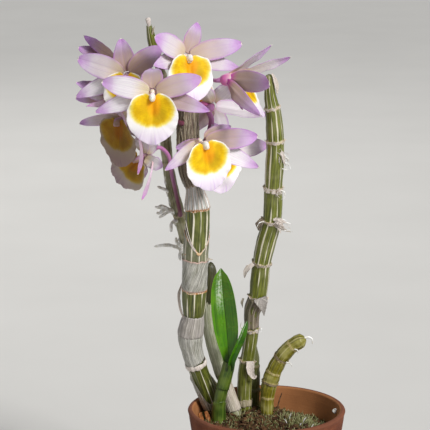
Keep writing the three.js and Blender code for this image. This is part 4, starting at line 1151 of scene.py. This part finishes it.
# height, bearing and radii of the knots of short roots on its left side
tallScurf = [
    (129, -60, (1.3, 1.0, 2.0)), (131.6, -80, (1.0, 0.9, 1.6)), (141, -70, (0.8, 0.7, 2.2)),
    (145.4, -60, (1.0, 0.9, 1.7)), (149.6, -75, (0.8, 0.7, 2.0)), (154, -70, (0.7, 0.7, 1.8)),
    (158.4, -60, (0.6, 0.6, 1.4)),
]
tipHeights = np.array([219.5, 221.5, 224, 226.4, 228.2])
tipRadius = np.interp(np.linspace(0, 1, 34), [0, 0.5, 0.62, 0.8, 0.93, 1], [0.9, 0.8, 0.6, 0.95, 1.05, 0.8])
addPiece("caneTall", [
    caneSkin("tall"),
    *[rootSkin(points, 0.85, 60 + k) for k, points in enumerate(tallRoots)],
    *[
        eggPart(besideStem("tall", h, b, 2.3), np.eye(3), radii, "dryRoot", pick=0.1, dents=0.3, seed=k)
        for k, (h, b, radii) in enumerate(tallScurf)
    ],
    sleeveSkin("tall", [(207, 2.05), (214, 2.05), (219, 1.9), (221.5, 1.65), (223, 1.4), (224.8, 1)],
               "rightCane", 14, 0.7, 0.9, 0.03, 9, 0.2, 47, tan=0.35, sides=64, flare=0.1),
    strandSkin(evenPath(besideStem("tall", tipHeights, 0, 0), 34), tipRadius, "whitePaper", 16, 0.16, 5),
    bladeSkin([(-48, 6.6, 221.4), (-47.6, 6.4, 223.4), (-47, 6.4, 225)], [0.3, 0.45, 0.3, 0.05], (0.3, -1, 0),
              "strawPaper", 0.2, 0.5, seed=9, ruffle=0.1),
])

addPiece("caneBack", [
    caneSkin("back"),
    sleeveSkin("back", [(58, 3.1), (64, 3.1), (70, 2.9)], "tornPaper", 0, 1.2, 0.6, 0.04, seed=51, wall=0.2,
               tan=0.2, sides=80),
    sleeveSkin("back", [(73, 2.75), (82, 3.35), (95, 3.05), (104, 2.95)], "olivePaper", 18, 1.5, 1.8, seed=55,
               wall=0.2, tan=0.5, sides=80),
    sleeveSkin("back", [(105, 2.95), (114, 2.85), (118.4, 2.5), (120.4, 1.9), (121.7, 1.0), (122.2, 0.3)],
               "darkCane", 18, 0.2, 1.6, 0.0, wall=0.2, seed=57, tan=0.0, flare=0.0, sides=64),
])

rightRoots = [
    [(2, 4.6, 143), (6, 3.4, 142.6), (9.8, 4, 141.6)], [(1.6, 5, 141.4), (5.6, 4, 139.6), (8.8, 4.6, 138.2)],
    [(-3, 8.4, 123), (-7.2, 6.4, 122.6), (-9.2, 6.6, 119.4)],
]
rightCurls = [
    [(3, 1.2, 174), (5.6, 0.2, 173), (7.4, 0.5, 170.8), (6.4, 0.9, 168.4), (5, 0.6, 169.4)],
    [(4, 1, 171), (6.8, 0.2, 169), (8.8, 0.8, 167.6), (9.6, 1, 165.4)],
    [(4.4, 0.6, 169), (7.2, 0.4, 171), (8.6, 1, 169.4), (7.2, 1.4, 167), (8.2, 1.4, 165.6)],
    [(4.4, 1.2, 167), (6.4, 0.6, 165.8), (8.6, 0.9, 165.4)],
    [(5.2, 1.4, 156.6), (7, 1.4, 155.8), (7, 1.4, 153.4), (5.8, 1.6, 152.6)],
    [(3, 1.6, 143.4), (6.4, 1, 144.2), (8.2, 1.4, 143.4)],
    [(3.4, 1.6, 141), (6.8, 1.4, 139.4), (9.8, 2, 139.4)],
    [(-1.4, 1.6, 143.2), (-3.4, 1.4, 142.6), (-4.4, 1.8, 140.8)],
    [(-3, 9, 93.8), (-2.2, 8.6, 94.6), (-2.4, 8.4, 92.8)],
    [(-10.2, 11, 93.6), (-11, 10.6, 95.4), (-10.6, 10.4, 97)],
]
# path, half widths, the way it faces and finish of each paper flap
flaps = [
    ([(-7, 9.4, 79.9), (-6.9, 8.9, 77.4), (-6.3, 8.7, 74.8), (-5.2, 8.5, 72.8), (-4.1, 8.5, 73.6)],
     [1.6, 1.8, 1.6, 1.1, 0.3], (0.1, -1, 0.1), "whitePaper"),
    ([(-2.9, 5.1, 109.2), (-2, 4.9, 106.4), (-1.4, 5, 103.6), (-1.1, 5.2, 101.2)], [3.1, 2.3, 1.1, 0.15],
     (0.25, -1, 0), "lilacPaper"),
    ([(-5.6, 5.2, 124), (-7.6, 5.4, 122.4), (-9, 6, 120), (-9.5, 6.4, 117.6)], [0.7, 1.2, 1, 0.3],
     (-0.4, -1, 0), "whitePaper"),
    ([(-2, 2.4, 143.8), (-3.2, 2.2, 142), (-3.6, 2.6, 139)], [1.2, 1.6, 0.4], (-0.4, -1, 0), "brownPaper"),
    ([(2.4, 1.2, 144.2), (5.4, 0.8, 143.8), (8, 1.6, 142.6)], [0.7, 0.8, 0.1], (0.2, -1, 0.6), "whitePaper"),
    ([(3.6, 1.8, 141.4), (6.6, 1.6, 139.8), (9.8, 2.4, 138.4)], [0.5, 0.7, 0.1], (0.2, -1, 0.6), "tornPaper"),
    ([(1.4, -1.5, 206.4), (2.4, -1.8, 204.6), (3.4, -1.5, 201.4), (3.7, -1.1, 197.6)], [0.3, 0.9, 0.85, 0.2],
     (0.3, -1, 0.2), "whitePaper"),
    ([(3.4, 0, 174.6), (5.6, -0.8, 173), (6.6, -0.6, 170), (7, -0.4, 168)], [0.3, 0.7, 0.6, 0.2],
     (0.4, -1, 0), "whitePaper"),
    ([(2.6, 1.4, 144.6), (5.2, 0.6, 143), (7.2, 0.8, 140)], [0.6, 0.7, 0.15], (0.3, -1, 0.3), "whitePaper"),
    ([(2.4, 1.6, 143), (4.6, 0.8, 141), (5.6, 1, 138.2)], [0.7, 0.8, 0.15], (0.4, -1, 0), "whitePaper"),
    ([(-9.8, 9.8, 107.6), (-10.4, 10, 105.6), (-10.2, 10.4, 103.4)], [0.5, 0.6, 0.1], (-0.4, -1, 0),
     "tornPaper"),
]


def collarParts():
    # the torn rim of each joint's sheath: a short sleeve, ragged above and below, wider on some
    draw = np.random.default_rng(31)
    made = []
    for k, joint in enumerate(canes["right"]["skin"]["joints"]):
        r = np.interp(joint, *stems["right"]["girth"])
        wide, tall = draw.uniform(0.1, 0.45), draw.uniform(0.6, 1.3)
        rows = [(joint - tall, r + 0.1), (joint - 0.2, r + 0.3), (joint + tall * 0.6, r + 0.3 + wide)]
        finish = "tornPaper" if k in (0, 3) else "whitePaper"
        made.append(sleeveSkin("right", rows, finish, 0, 0.8, 0.6, 0.04, 7, 0.2, 70 + 5 * k, tan=0.4,
                               sides=96, step=0.25))
    return made


addPiece("caneRight", [
    caneSkin("right"),
    *collarParts(),
    sleeveSkin("right", [(94.6, 3.2), (97, 3.1), (101, 3.4), (104, 3.7), (107.6, 4)], "huskPaper", 12, 0.3,
               0.6, 0.03, 11, 0.15, 67, tan=0.4, sides=72, flare=0.1, step=0.7),
    sleeveSkin("right", [(58.6, 3.3), (60, 3.45), (61.6, 3.35)], "strawPaper", 0, 0.7, 0.4, seed=69, wall=0.2,
               tan=0.5, sides=64, flare=0.1),
    *[rootSkin(points, 0.45, 80 + k) for k, points in enumerate(rightRoots)],
    *[curlSkin(points, 0.34, 120 + k) for k, points in enumerate(rightCurls)],
    *tuftParts((3.6, -0.4, 174), (3.4, 0.4, -5), 20, 300),
    *tuftParts((3.4, 0.2, 143), (4.6, 0.4, -2.6), 14, 330),
    *tuftParts((4.4, -0.6, 157), (1, 0, -2.4), 5, 350),
    *[bladeSkin(*flap, 0.22, 0.3, twist=20, ruffle=0.2, seed=90 + k) for k, flap in enumerate(flaps)],
])

hook = smoothPath([(15, 6.6, 90.4), (17.6, 6.5, 91.4), (19.4, 6.5, 90.6), (19.7, 6.5, 88.4)], 40)
# height, radius and how far up the two torn collars reach
smallCollars = [(70.2, 3.7, 0.4), (81.6, 3.45, 0.3)]
addPiece("caneSmall", [
    caneSkin("small"),
    strandSkin(hook, 0.62 * (1 - 0.65 * np.linspace(0, 1, 40)), "dryRoot", 12),
    curlSkin([(8.4, 5.2, 80.6), (10.4, 4.8, 80), (11, 4.8, 78.6)], 0.35, 141),
    curlSkin([(12, 4.4, 86.6), (13.2, 4, 86.2), (13.4, 4.2, 84.8)], 0.35, 142),
    *[
        sleeveSkin("small", [(h - 0.5, r - 0.1), (h + tall, r + 0.1)], "strawPaper", 0, 0.35, 0.3, 0.03,
                   9, 0.15, 100 + k, tan=0.7, sides=64, step=0.25, flare=0.12)
        for k, (h, r, tall) in enumerate(smallCollars)
    ],
])
addPiece("caneStub", [caneSkin("stub")])
addPiece("newShoot", [
    caneSkin("shoot"),
    sleeveSkin("shoot", [(55, 3.1), (60, 3), (64.5, 2.85)], "shootSkin", 0, 0.7, 0.1, 0.004, 12, 0.25, 110,
               topAt=lambda b: 62.6 + 2.4 * np.cos(b - 0.5), tan=0.0, sides=72, flare=0.1),
    sleeveSkin("shoot", [(70, 2.85), (76, 2.75), (80, 2.6), (86, 2.5)], "shootSkin", 0, 0.05, 0.1, 0.006, 12,
               0.3, 112, topAt=lambda b: 82.6 - 1.5 * np.cos(b - 0.3) + 0.6 * np.cos(2 * b), tan=0.0,
               sides=72, flare=0.0),
])
print("other canes done")


leaves = {
    "leafLarge": {
        "points": [
            (-15.6, 3.4, 78.6), (-16.2, 3.4, 86), (-17.3, 1.8, 99.5), (-18.5, -1, 112), (-19.5, -4, 124.3),
        ],
        "halfWidth": [2.1, 2.6, 4.1, 5.1, 5.7, 5.8, 5.75, 5.5, 4.9, 3.7, 1.2],
        "fold": 20, "twist": -9, "finish": "leafSkin",
    },
    "leafSmall": {
        "points": [
            (-16.2, 0.8, 78.8), (-15.2, -1, 83), (-12.6, -1.6, 89.6), (-10.4, -0.9, 94.8), (-8.3, 0.6, 100.4),
        ],
        "halfWidth": [1.1, 1.6, 1.9, 2.0, 2.0, 2.0, 2.0, 1.9, 1.7, 1.2, 0.3],
        "fold": 35, "twist": 20, "finish": "foldSkin",
    },
}


def leafPart(leaf):
    # midrib along a curve, half width read off at even steps and rounded at the tip, sides folded
    # forward, the fold rounded at the midrib, and a section that is thin at the margin
    rows = 96
    path = evenPath(leaf["points"], rows)
    t = shares(rows)
    along = unit(np.gradient(path, axis=0))
    twist, fold = np.radians([leaf["twist"], leaf["fold"]])
    facing = unit(np.cross([np.cos(twist), np.sin(twist), 0], along))
    section = around(56)
    s, front = -np.cos(section), np.sin(section)
    half = np.interp(t[:, 0], np.linspace(0, 1, 11), leaf["halfWidth"])
    half = softened(half, 15)[:, None] * domed((1.002 - t) * 16)
    lift = (np.sqrt(s**2 + 0.004) - 0.06) * half * np.sin(fold) * (1 + 1.5 * ease(t, 0.25, 0))
    lift = lift + 0.18 * np.sin(5 * t + 1) * s**3 * half / 5 + 0.08 * np.sin(13 * t) * s**4
    lift = lift + 0.22 * (1.1 - t) * rounded(front, 0.6)
    place = spread(path, np.cross(along, facing), facing, half * s * np.cos(fold), lift)
    return skin(place, [s[None], t, np.sign(front)[None], 0], leaf["finish"])


for name, leaf in leaves.items():
    addPiece(name, [leafPart(leaf)])
print("leaves done")


tepalForms = {
    "dorsal": {"halfWidth": 3.5, "forward": -0.5, "swell": 0.74, "blunt": 0.66},
    "petal": {"halfWidth": 4.3, "forward": 0.3, "swell": 0.92, "blunt": 0.58},
    "sepal": {"halfWidth": 3.5, "forward": -0.5, "swell": 0.74, "blunt": 0.72},
}
# at: middle of the flower. facing: turn to the right, tilt up, clockwise roll. Each tepal: turn from
# the top, length, lean forward, curl back, width share, painted shade (below 0 a painted glow), twist.
# The stalk passes via points to a seat on a stem: its name, height and bearing. strips are narrow
# tepals seen from the side
flowers = {
    "front": {
        "at": (-46.8, -32, 203.7), "facing": (-2, 6, 0), "seat": ("main", 185, -30),
        "via": [(-45.5, -24, 200), (-41.5, -14, 194)], "lip": {"radius": 10.3},
        "dorsal": (-4, 12.4, -12, 80, 1.2, 0.85), "petals": [(74, 19, 8, 25, 1, 0.75), (-79, 19.5, 8, 25)],
        "sepals": [(109, 23, -4, 12, 1, 0.85), (-110, 24, -4, 12)],
    },
    "top": {
        "at": (-33.5, -14, 215.5), "facing": (26, 24, 6), "seat": ("main", 198, 10),
        "via": [(-35.2, -6, 209)], "lip": {"radius": 9.8}, "dorsal": (25, 15, 2, 10, 1, 0.85),
        "petals": [(77, 24, 10, 15, 0.97, 0.75), (-68, 15.5, 24, 20, 1.1, 0.4)],
        "sepals": [(100, 23, 4, 12, 1, 0.5), (-108, 15, 10, 6, 1.05, 0.4)],
    },
    "upper_left": {
        "at": (-58.1, -6, 206.5), "facing": (-12, 12, 0), "seat": ("tall", 196, -50),
        "via": [(-54, 2, 202)], "lip": {"radius": 9, "drop": -1.2, "dusk": 0.25},
        "dorsal": (-13, 14, 6, 20, 1.24, 0.9),
        "petals": [(50, 17, 8, 20, 1, 0.9), (-74, 21, 6, 20, 1.1, 0.45)],
        "sepals": [(112, 16, -4, 12), (-113, 23.5, -4, 12)],
    },
    "far_left": {
        "at": (-65.2, 19.5, 209.3), "facing": (-105, 10, 0), "seat": ("tall", 200, -110),
        "via": [(-55, 15, 204)], "blush": 0, "lip": {"radius": 7.6, "tilt": 18, "drop": 1},
        "dorsal": (49, 17, 42, 0, 0.75, 1.7),
        "petals": [(70, 15, 60, 5, 0.6, 1.2), (-98, 21, 55, 5, 0.4, 0.8)],
        "sepals": [(120, 15, -24, 10), (-128, 17, -24, 10)],
    },
    "left": {
        "at": (-66.6, 7, 196.8), "facing": (-95, -5, 0), "seat": ("tall", 182.5, -90),
        "via": [(-55, 10, 192)], "blush": 0, "lip": {"radius": 8, "tilt": 25, "drop": 0.6, "dusk": 0.5},
        "dorsal": (44, 14.6, 60, 0, 0.85, 1), "petals": [(70, 9, 62, 0, 0.8), (-104, 18, 58, 0, 0.75, 1)],
        "sepals": [(118, 14, -24, 0), (-132, 15, -26, 10)],
        "strips": [
            ([(-66.4, 3, 195), (-69, -1, 193.8), (-72.5, -2, 193.4), (-75.2, -2, 192.8)],
             [0.7, 1.4, 1.5, 0.9, 0.1]),
        ],
    },
    "low_left": {
        "at": (-59.5, -19, 191.5), "facing": (-43, -2, 4), "seat": ("tall", 178, -10),
        "via": [(-53, -8, 187), (-46, 2, 182)], "lip": {"radius": 10.3, "ruffle": 1.5, "dusk": 1},
        "dorsal": (-10, 13, 0, 30), "petals": [(62, 13, 0, 30), (-107, 25, 5, 12, 0.5, 0.7)],
        "sepals": [(120, 11, 10, 10, 0.8), (-140, 16, -8, 10)],
        "strips": [
            ([(-59.2, -20, 193.4), (-59.6, -23.6, 194), (-58, -25, 190.4), (-55.9, -25.6, 185.8)],
             [0.3, 0.45, 0.5, 0.45, 0.15]),
        ],
    },
    "lowest_left": {
        "at": (-51.3, -10, 173.8), "facing": (-36, -8, 51), "seat": ("tall", 144, 10),
        "via": [(-45.5, -5.5, 176.2), (-41.6, -2, 172.5), (-40, 2, 163), (-38, 7, 152)],
        "lip": {"radius": 9.8, "ruffle": 1.9, "dusk": 0.85}, "dorsal": (-14, 8, -20, 10, 0.8),
        "petals": [(76, 8, -20, 10, 0.8), (-42, 9, 20, 10, 0.8)],
        "sepals": [(150, 12, -20, 0, 0.6), (-200, 12, -10, 0, 0.8)],
        "strips": [
            ([(-49, -11, 174), (-47.7, -11, 172), (-48, -11.5, 168), (-49.2, -12, 163.3),
              (-50.6, -12.5, 159.2), (-52.1, -13, 155.6)], [0.4, 0.35, 0.35, 0.5, 0.7, 0.9, 0.3]),
            ([(-51.6, -12, 177), (-53, -17, 182), (-52.1, -18.6, 178.6), (-52.2, -19, 173.4),
              (-53.5, -18.4, 167.4)], [0.3, 0.4, 0.45, 0.6, 0.9, 0.9, 0.3]),
        ],
    },
    "low_right": {
        "at": (-27.3, -18, 181.4), "facing": (26, 7, -8), "seat": ("main", 171, 20),
        "via": [(-30.5, -10, 177.5)], "lip": {"radius": 10.2, "ruffle": 1.5},
        "hub": {"radii": (1.1, 1.2, 1.6), "out": -2.4}, "dorsal": (82, 14.5, 4, 30, 1, 0.8),
        "petals": [(99, 24, 6, 12, 1, 0.85), (-96, 10, -24, 10, 0.45, 0.9)],
        "sepals": [(125, 29, 0, 12, 1.1, 0.15), (-117, 18, -4, 12, 0.85, 0.3)],
    },
    "behind_right": {
        "at": (-21.6, 2, 174.3), "facing": (34, 0, -10), "seat": ("main", 167, 120), "via": [(-25, 7, 172)],
        "lip": {"radius": 9.5, "ruffle": 1.5, "dusk": -0.8}, "dorsal": (30, 12, -10, 60, 0.9, 0.5),
        "petals": [(103, 24, 10, 15, 1, 0.3), (-75, 4.5, 20, 30, 0.8)],
        "sepals": [(135, 16, -4, 10), (-115, 6, 10, 20, 0.8)],
    },
    "back": {
        "at": (-22.8, 14, 190.5), "facing": (165, 20, -100), "seat": ("main", 176, 115),
        "via": [(-23.5, 9, 185)], "girth": 1.2, "blush": 0.2, "lip": {"radius": 9.6},
        "hub": {"radii": (1.3, 1.4, 2.2), "out": -1.6, "finish": "stalk"}, "dorsal": (5, 23, 0, 12, 1, -1),
        "petals": [(54, 13, 4, 20, 1, 0), (-70, 16, 4, 20, 1, -0.6)],
        "sepals": [(123, 13, -4, 10, 1, 0), (-120, 16, -4, 10, 1, 0.6)],
    },
    "right": {
        "at": (-16.3, -10, 205.4), "facing": (74, 0, 0), "seat": ("main", 196, 70),
        "via": [(-24, -3, 203.5)], "blush": 1.2,
        "lip": {"radius": 9.6, "tilt": -38, "forward": 3.2, "drop": 1.4, "narrow": 0.62},
        "hub": {"radii": (2.6, 2.8, 4.4), "out": 0.4, "wear": 1}, "dorsal": (35, 22, 52, 10, 0.75, 0.5),
        "petals": [(58, 26.5, 62, 8, 0.8, 0.2, -18), (-85, 26.4, 64, 20, 1, 0.8)],
        "sepals": [(157, 14, 20, 0), (-120, 28, 36, -14, 0.8, 0.9, 60)],
    },
}


def flowerAxes(facing):
    # right, up and out of a flower that looks towards -Y before it is turned, tilted and rolled
    a, b, c = np.radians(facing)
    out = np.array([np.sin(a) * np.cos(b), -np.cos(a) * np.cos(b), np.sin(b)])
    level = np.array([np.cos(a), np.sin(a), 0])
    return (*spun(level, np.cross(out, level), -c), out)


def outerRadius(stem, height):
    # radius of whatever lies outermost on a stem
    grids = [np.transpose(sheath["rows"]) for sheath in sheaths.values() if stem == "main"]
    found = [grid for grid in grids if grid[0, 0] <= height <= grid[0, -1]]
    return np.interp(height, *(found or [stems[stem]["girth"]])[0])


def tepalPart(centre, axes, kind, shape, seed, blush):
    # midline: an arc that starts at the lean and bends back by the curl. Half width: a power of a
    # sine of the length. Sides cupped by a square law, with a waved margin, a groove down the middle
    # and a keel behind; the section is a thin ellipse
    form = tepalForms[kind]
    theta, length, lean, curl, widen, dusk, twist = (*shape, *(1, 0.1, 0)[len(shape) - 4:])
    right, up, out = axes
    theta, lean, curl = np.radians([theta, lean, curl if abs(curl) > 0.5 else 0.5])
    outward, cross = spun(up, right, theta)
    u = shares(34)
    t = 0.5 * u + 0.5 * (0.5 - 0.5 * np.cos(np.pi * u))
    slope = lean - curl * t
    reach = length * (np.sin(lean) - np.sin(slope)) / curl
    lift = length * (np.cos(slope) - np.cos(lean)) / curl
    oval = np.sin(np.pi * np.minimum(t, 0.9995) ** form["swell"]) ** form["blunt"]
    half = form["halfWidth"] * widen * oval + 0.9 * (1 - t) ** 3 + 0.12 * t**6 * domed(1.0005 - t)
    section = around(36)
    s, front = -np.cos(section), np.sin(section)
    first, second = np.random.default_rng(seed).uniform(0, turn, 2)
    sheet = (0.12 * half + 0.3 * np.sin(9 * t + s)) * s**2
    sheet = sheet + 0.16 * np.sin(15 * t + first) * np.abs(s) ** 3 * (1 - t)
    sheet = sheet + 0.12 * np.sin(26 * t + second) * s**4 * np.sign(s)
    sheet = sheet - 0.22 * bell(s, 0, 0.13) * (1 - 0.7 * t)
    thick = 0.25 * (1 - 0.45 * t) * rounded(front, 0.7)
    keel = np.where(front < 0, -0.28 * bell(s, 0, 0.12) * (1 - t), 0)
    facing = spun(outward, out, slope[..., None])[1]
    cross, facing = spun(cross, facing, (np.radians(twist) * ease(t, 0, 0.35))[..., None])
    middle = placed(centre, (outward, out), 1.5 + reach, form["forward"] + lift)
    place = placed(middle, (cross, facing), half * s, sheet + thick + keel)
    blushed = blush * ease(t, 0.1 + 0.09 * blush, 0) * (front < 0)
    # form's third number carries the tepal's painted shade
    return skin(place, [s[None], t, dusk, 0], "tepal", blushed)


def lipPart(middle, axes, radius, narrow, ruffle, dusk, seed):
    # a heart-shaped dish: reach = radius x share x outline(bearing), raised at its two lobes, rolled
    # back at the foot and ruffled at the rim; out along the front, round the rim and back behind
    bearing = np.linspace(-np.pi, np.pi, 126, endpoint=False)
    b = np.abs(bearing)
    share = np.sin(np.linspace(0.02, np.pi / 2, 19))[:, None]
    share = np.concatenate([share, share[:-1][::-1]])
    side = np.concatenate([np.ones(19), -np.ones(18)])[:, None]
    outline = 1 - 0.34 * bell(b, 0, 0.15) + 0.06 * bell(b, 0.75, 0.35) + 0.07 * bell(b, np.pi, 0.3)
    outline = outline - 0.03 * bell(b, 2.4, 0.4)
    teeth = 0.016 * waves(bearing, seed, 24, 60, 0) * share**8 + 0.02 * waves(bearing, seed + 1, 5, 16, 0.2)
    reach = radius * share * (outline + ruffle * teeth)
    dish = 2.2 * share**2 * bell(b, 0.85, 0.55) - 0.8 * share**3 * np.maximum(0, -np.cos(b))
    dish = dish + 0.3 * share**4 * np.cos(7 * b)
    dish = dish + 0.45 * ruffle * share**7 * waves(bearing, seed + 2, 7, 20, 0)
    x, y = reach * np.sin(bearing), reach * np.cos(bearing)
    dish = dish - 0.45 * bell(x, 0, 0.9) * ease(y / radius, -0.7, 0.2)
    dish = dish + 0.2 * bell(np.abs(x), 1.7, 0.7) * ease(y / radius, -0.5, 0.3)
    dish = dish + side * 0.25 * (1 - share**8) ** 0.5 + side * 0.05
    return skin(placed(middle, axes, narrow * x, y, dish), [x / radius, y / radius, share, dusk], "lip")


def makeFlower(name, flower, seed):
    # one piece of five tepals, narrow strips, column and stalk, and one of the lip
    lip = {"tilt": 0, "forward": 1.9, "drop": 0, "narrow": 1, "ruffle": 1, "dusk": 0, **flower["lip"]}
    # a flower whose lip has painted shade gets hub and column in the tepal finish with painted shade;
    # otherwise the white column finish
    tone, pick = ("tepal", 1) if lip["dusk"] > 0 else ("column", 0)
    hub = {"radii": (1.6, 1.7, 2), "out": -2, "finish": tone, "wear": 0.9, **flower.get("hub", {})}
    centre, axes = np.array(flower["at"], float), flowerAxes(flower["facing"])
    mouth = (axes[0], *spun(axes[1], axes[2], np.radians(lip["tilt"])))
    stem, height, bearing = flower["seat"]
    reach = outerRadius(stem, height) + 0.45
    near = besideStem(stem, height + 0.5, bearing, reach + 2.5)
    seat = besideStem(stem, height, bearing, reach - 0.4)
    ends = [placed(centre, axes[1:], rise, out) for rise, out in [(-0.4, -2.6), (-0.8, -5)]]
    share = np.linspace(0, 1, 50)
    girth = flower.get("girth", 0.8) + 0.5 * bell(share, 0, 0.1) + 0.3 * bell(share, 1, 0.05)
    shapes = [("dorsal", flower["dorsal"]), *[("sepal", shape) for shape in flower["sepals"]]]
    shapes += [("petal", shape) for shape in flower["petals"]]
    blush, drop = flower.get("blush", 0.7), lip["drop"] / 2
    hubAt = placed(centre, axes[1:], -0.3, hub["out"])
    cap, beak, throat = (
        placed(centre, mouth[1:], rise, out)
        for rise, out in [(-1.9, 2.4), (-2.6, 3.9), (-2.8 - drop, lip["forward"] - 1.8)]
    )
    titled = name.title().replace("_", "")
    addPiece("flower" + titled, [
        *[tepalPart(centre, axes, kind, shape, seed + k, blush) for k, (kind, shape) in enumerate(shapes)],
        eggPart(hubAt, axes, hub["radii"], hub["finish"], hub["wear"], 0.5, 0.04, seed),
        eggPart(cap, mouth, (1.3, 1.9, 2.4), tone, pick=pick, dents=0.03, seed=seed),
        eggPart(beak, mouth, (0.95, 0.95, 1.0), tone, pick=max(0.5, pick), dents=0.04, seed=seed + 1),
        eggPart(throat, mouth, (1.1, 2.8 + drop, 1.35), tone, wear=1.0, pick=pick),
        strandSkin(evenPath([*ends, *flower["via"], near, seat], 50), girth, "stalk", 14, 0.05, seed),
        *[
            bladeSkin(*strip, (0.3, -1, 0), "tepal", 0.35, 0.3, seed=seed + k, wear=0.3)
            for k, strip in enumerate(flower.get("strips", []))
        ],
    ])
    middle = placed(centre, mouth[1:], 0.1 - lip["radius"] - lip["drop"], lip["forward"])
    dish = lipPart(middle, mouth, lip["radius"], lip["narrow"], lip["ruffle"], lip["dusk"], seed)
    addPiece("lip" + titled, [dish])


for k, (name, flower) in enumerate(flowers.items()):
    makeFlower(name, flower, 200 + 10 * k)
print("flowers done")

studio = {
    "camera": (-0.022, -0.87798, 0.34416), "tilt": 77.3, "lens": 180, "sensor": 36, "floorSize": 30,
    "sky": 0.15,
    "sun": {"from": (0.62, -0.72, 0.78), "strength": 2.8, "angle": 14},
    "lamps": [
        {"at": (0.45, -0.9, 0.75), "size": 0.35, "power": 2.6},
        {"at": (-0.9, -0.7, 0.6), "size": 0.8, "power": 1.0},
        {"at": (-0.3, 0.9, 0.8), "size": 0.6, "power": 2.5},
    ],
}


def addSeen(name, data, place, rotation):
    # a lamp or camera, put in the scene at a place and turned
    thing = bpy.data.objects.new(name, data)
    thing.location, thing.rotation_euler = place, rotation
    bpy.context.scene.collection.objects.link(thing)
    return thing


def addLamp(name, kind, place, target, strength, size):
    # a lamp whose -Z points at its target. size is its width in metres, or a sun's angle in radians
    light = bpy.data.lights.new(name, kind)
    light.energy = strength
    setattr(light, "angle" if kind == "SUN" else "size", size)
    x, y, z = unit(np.array(target) - np.array(place))
    addSeen(name, light, place, (np.arccos(-z), 0, np.arctan2(y, x) - np.pi / 2))


def setStage():
    # a pale floor, the camera, a soft sun, three lamps and a dim even sky
    scene, sun = bpy.context.scene, studio["sun"]
    bpy.ops.mesh.primitive_plane_add(size=studio["floorSize"], location=(0, 0, 0))
    floor = bpy.context.object
    floor.name = "floor"
    floor.data.materials.append(finishes["paleFloor"])
    camera = bpy.data.cameras.new("camera")
    camera.lens, camera.sensor_width = studio["lens"], studio["sensor"]
    scene.camera = addSeen("camera", camera, studio["camera"], (np.radians(studio["tilt"]), 0, 0))
    addLamp("softSun", "SUN", sun["from"], (0, 0, 0), sun["strength"], np.radians(sun["angle"]))
    for k, lamp in enumerate(studio["lamps"]):
        addLamp("softLight%d" % k, "AREA", lamp["at"], (-0.02, 0, 0.13), lamp["power"], lamp["size"])
    scene.world = bpy.data.worlds.new("studio")
    scene.world.use_nodes = True
    sky = scene.world.node_tree.nodes["Background"].inputs
    sky["Color"].default_value, sky["Strength"].default_value = (0.9, 0.93, 1, 1), studio["sky"]
    scene.view_settings.view_transform = "Standard"


setStage()
print("stage done")
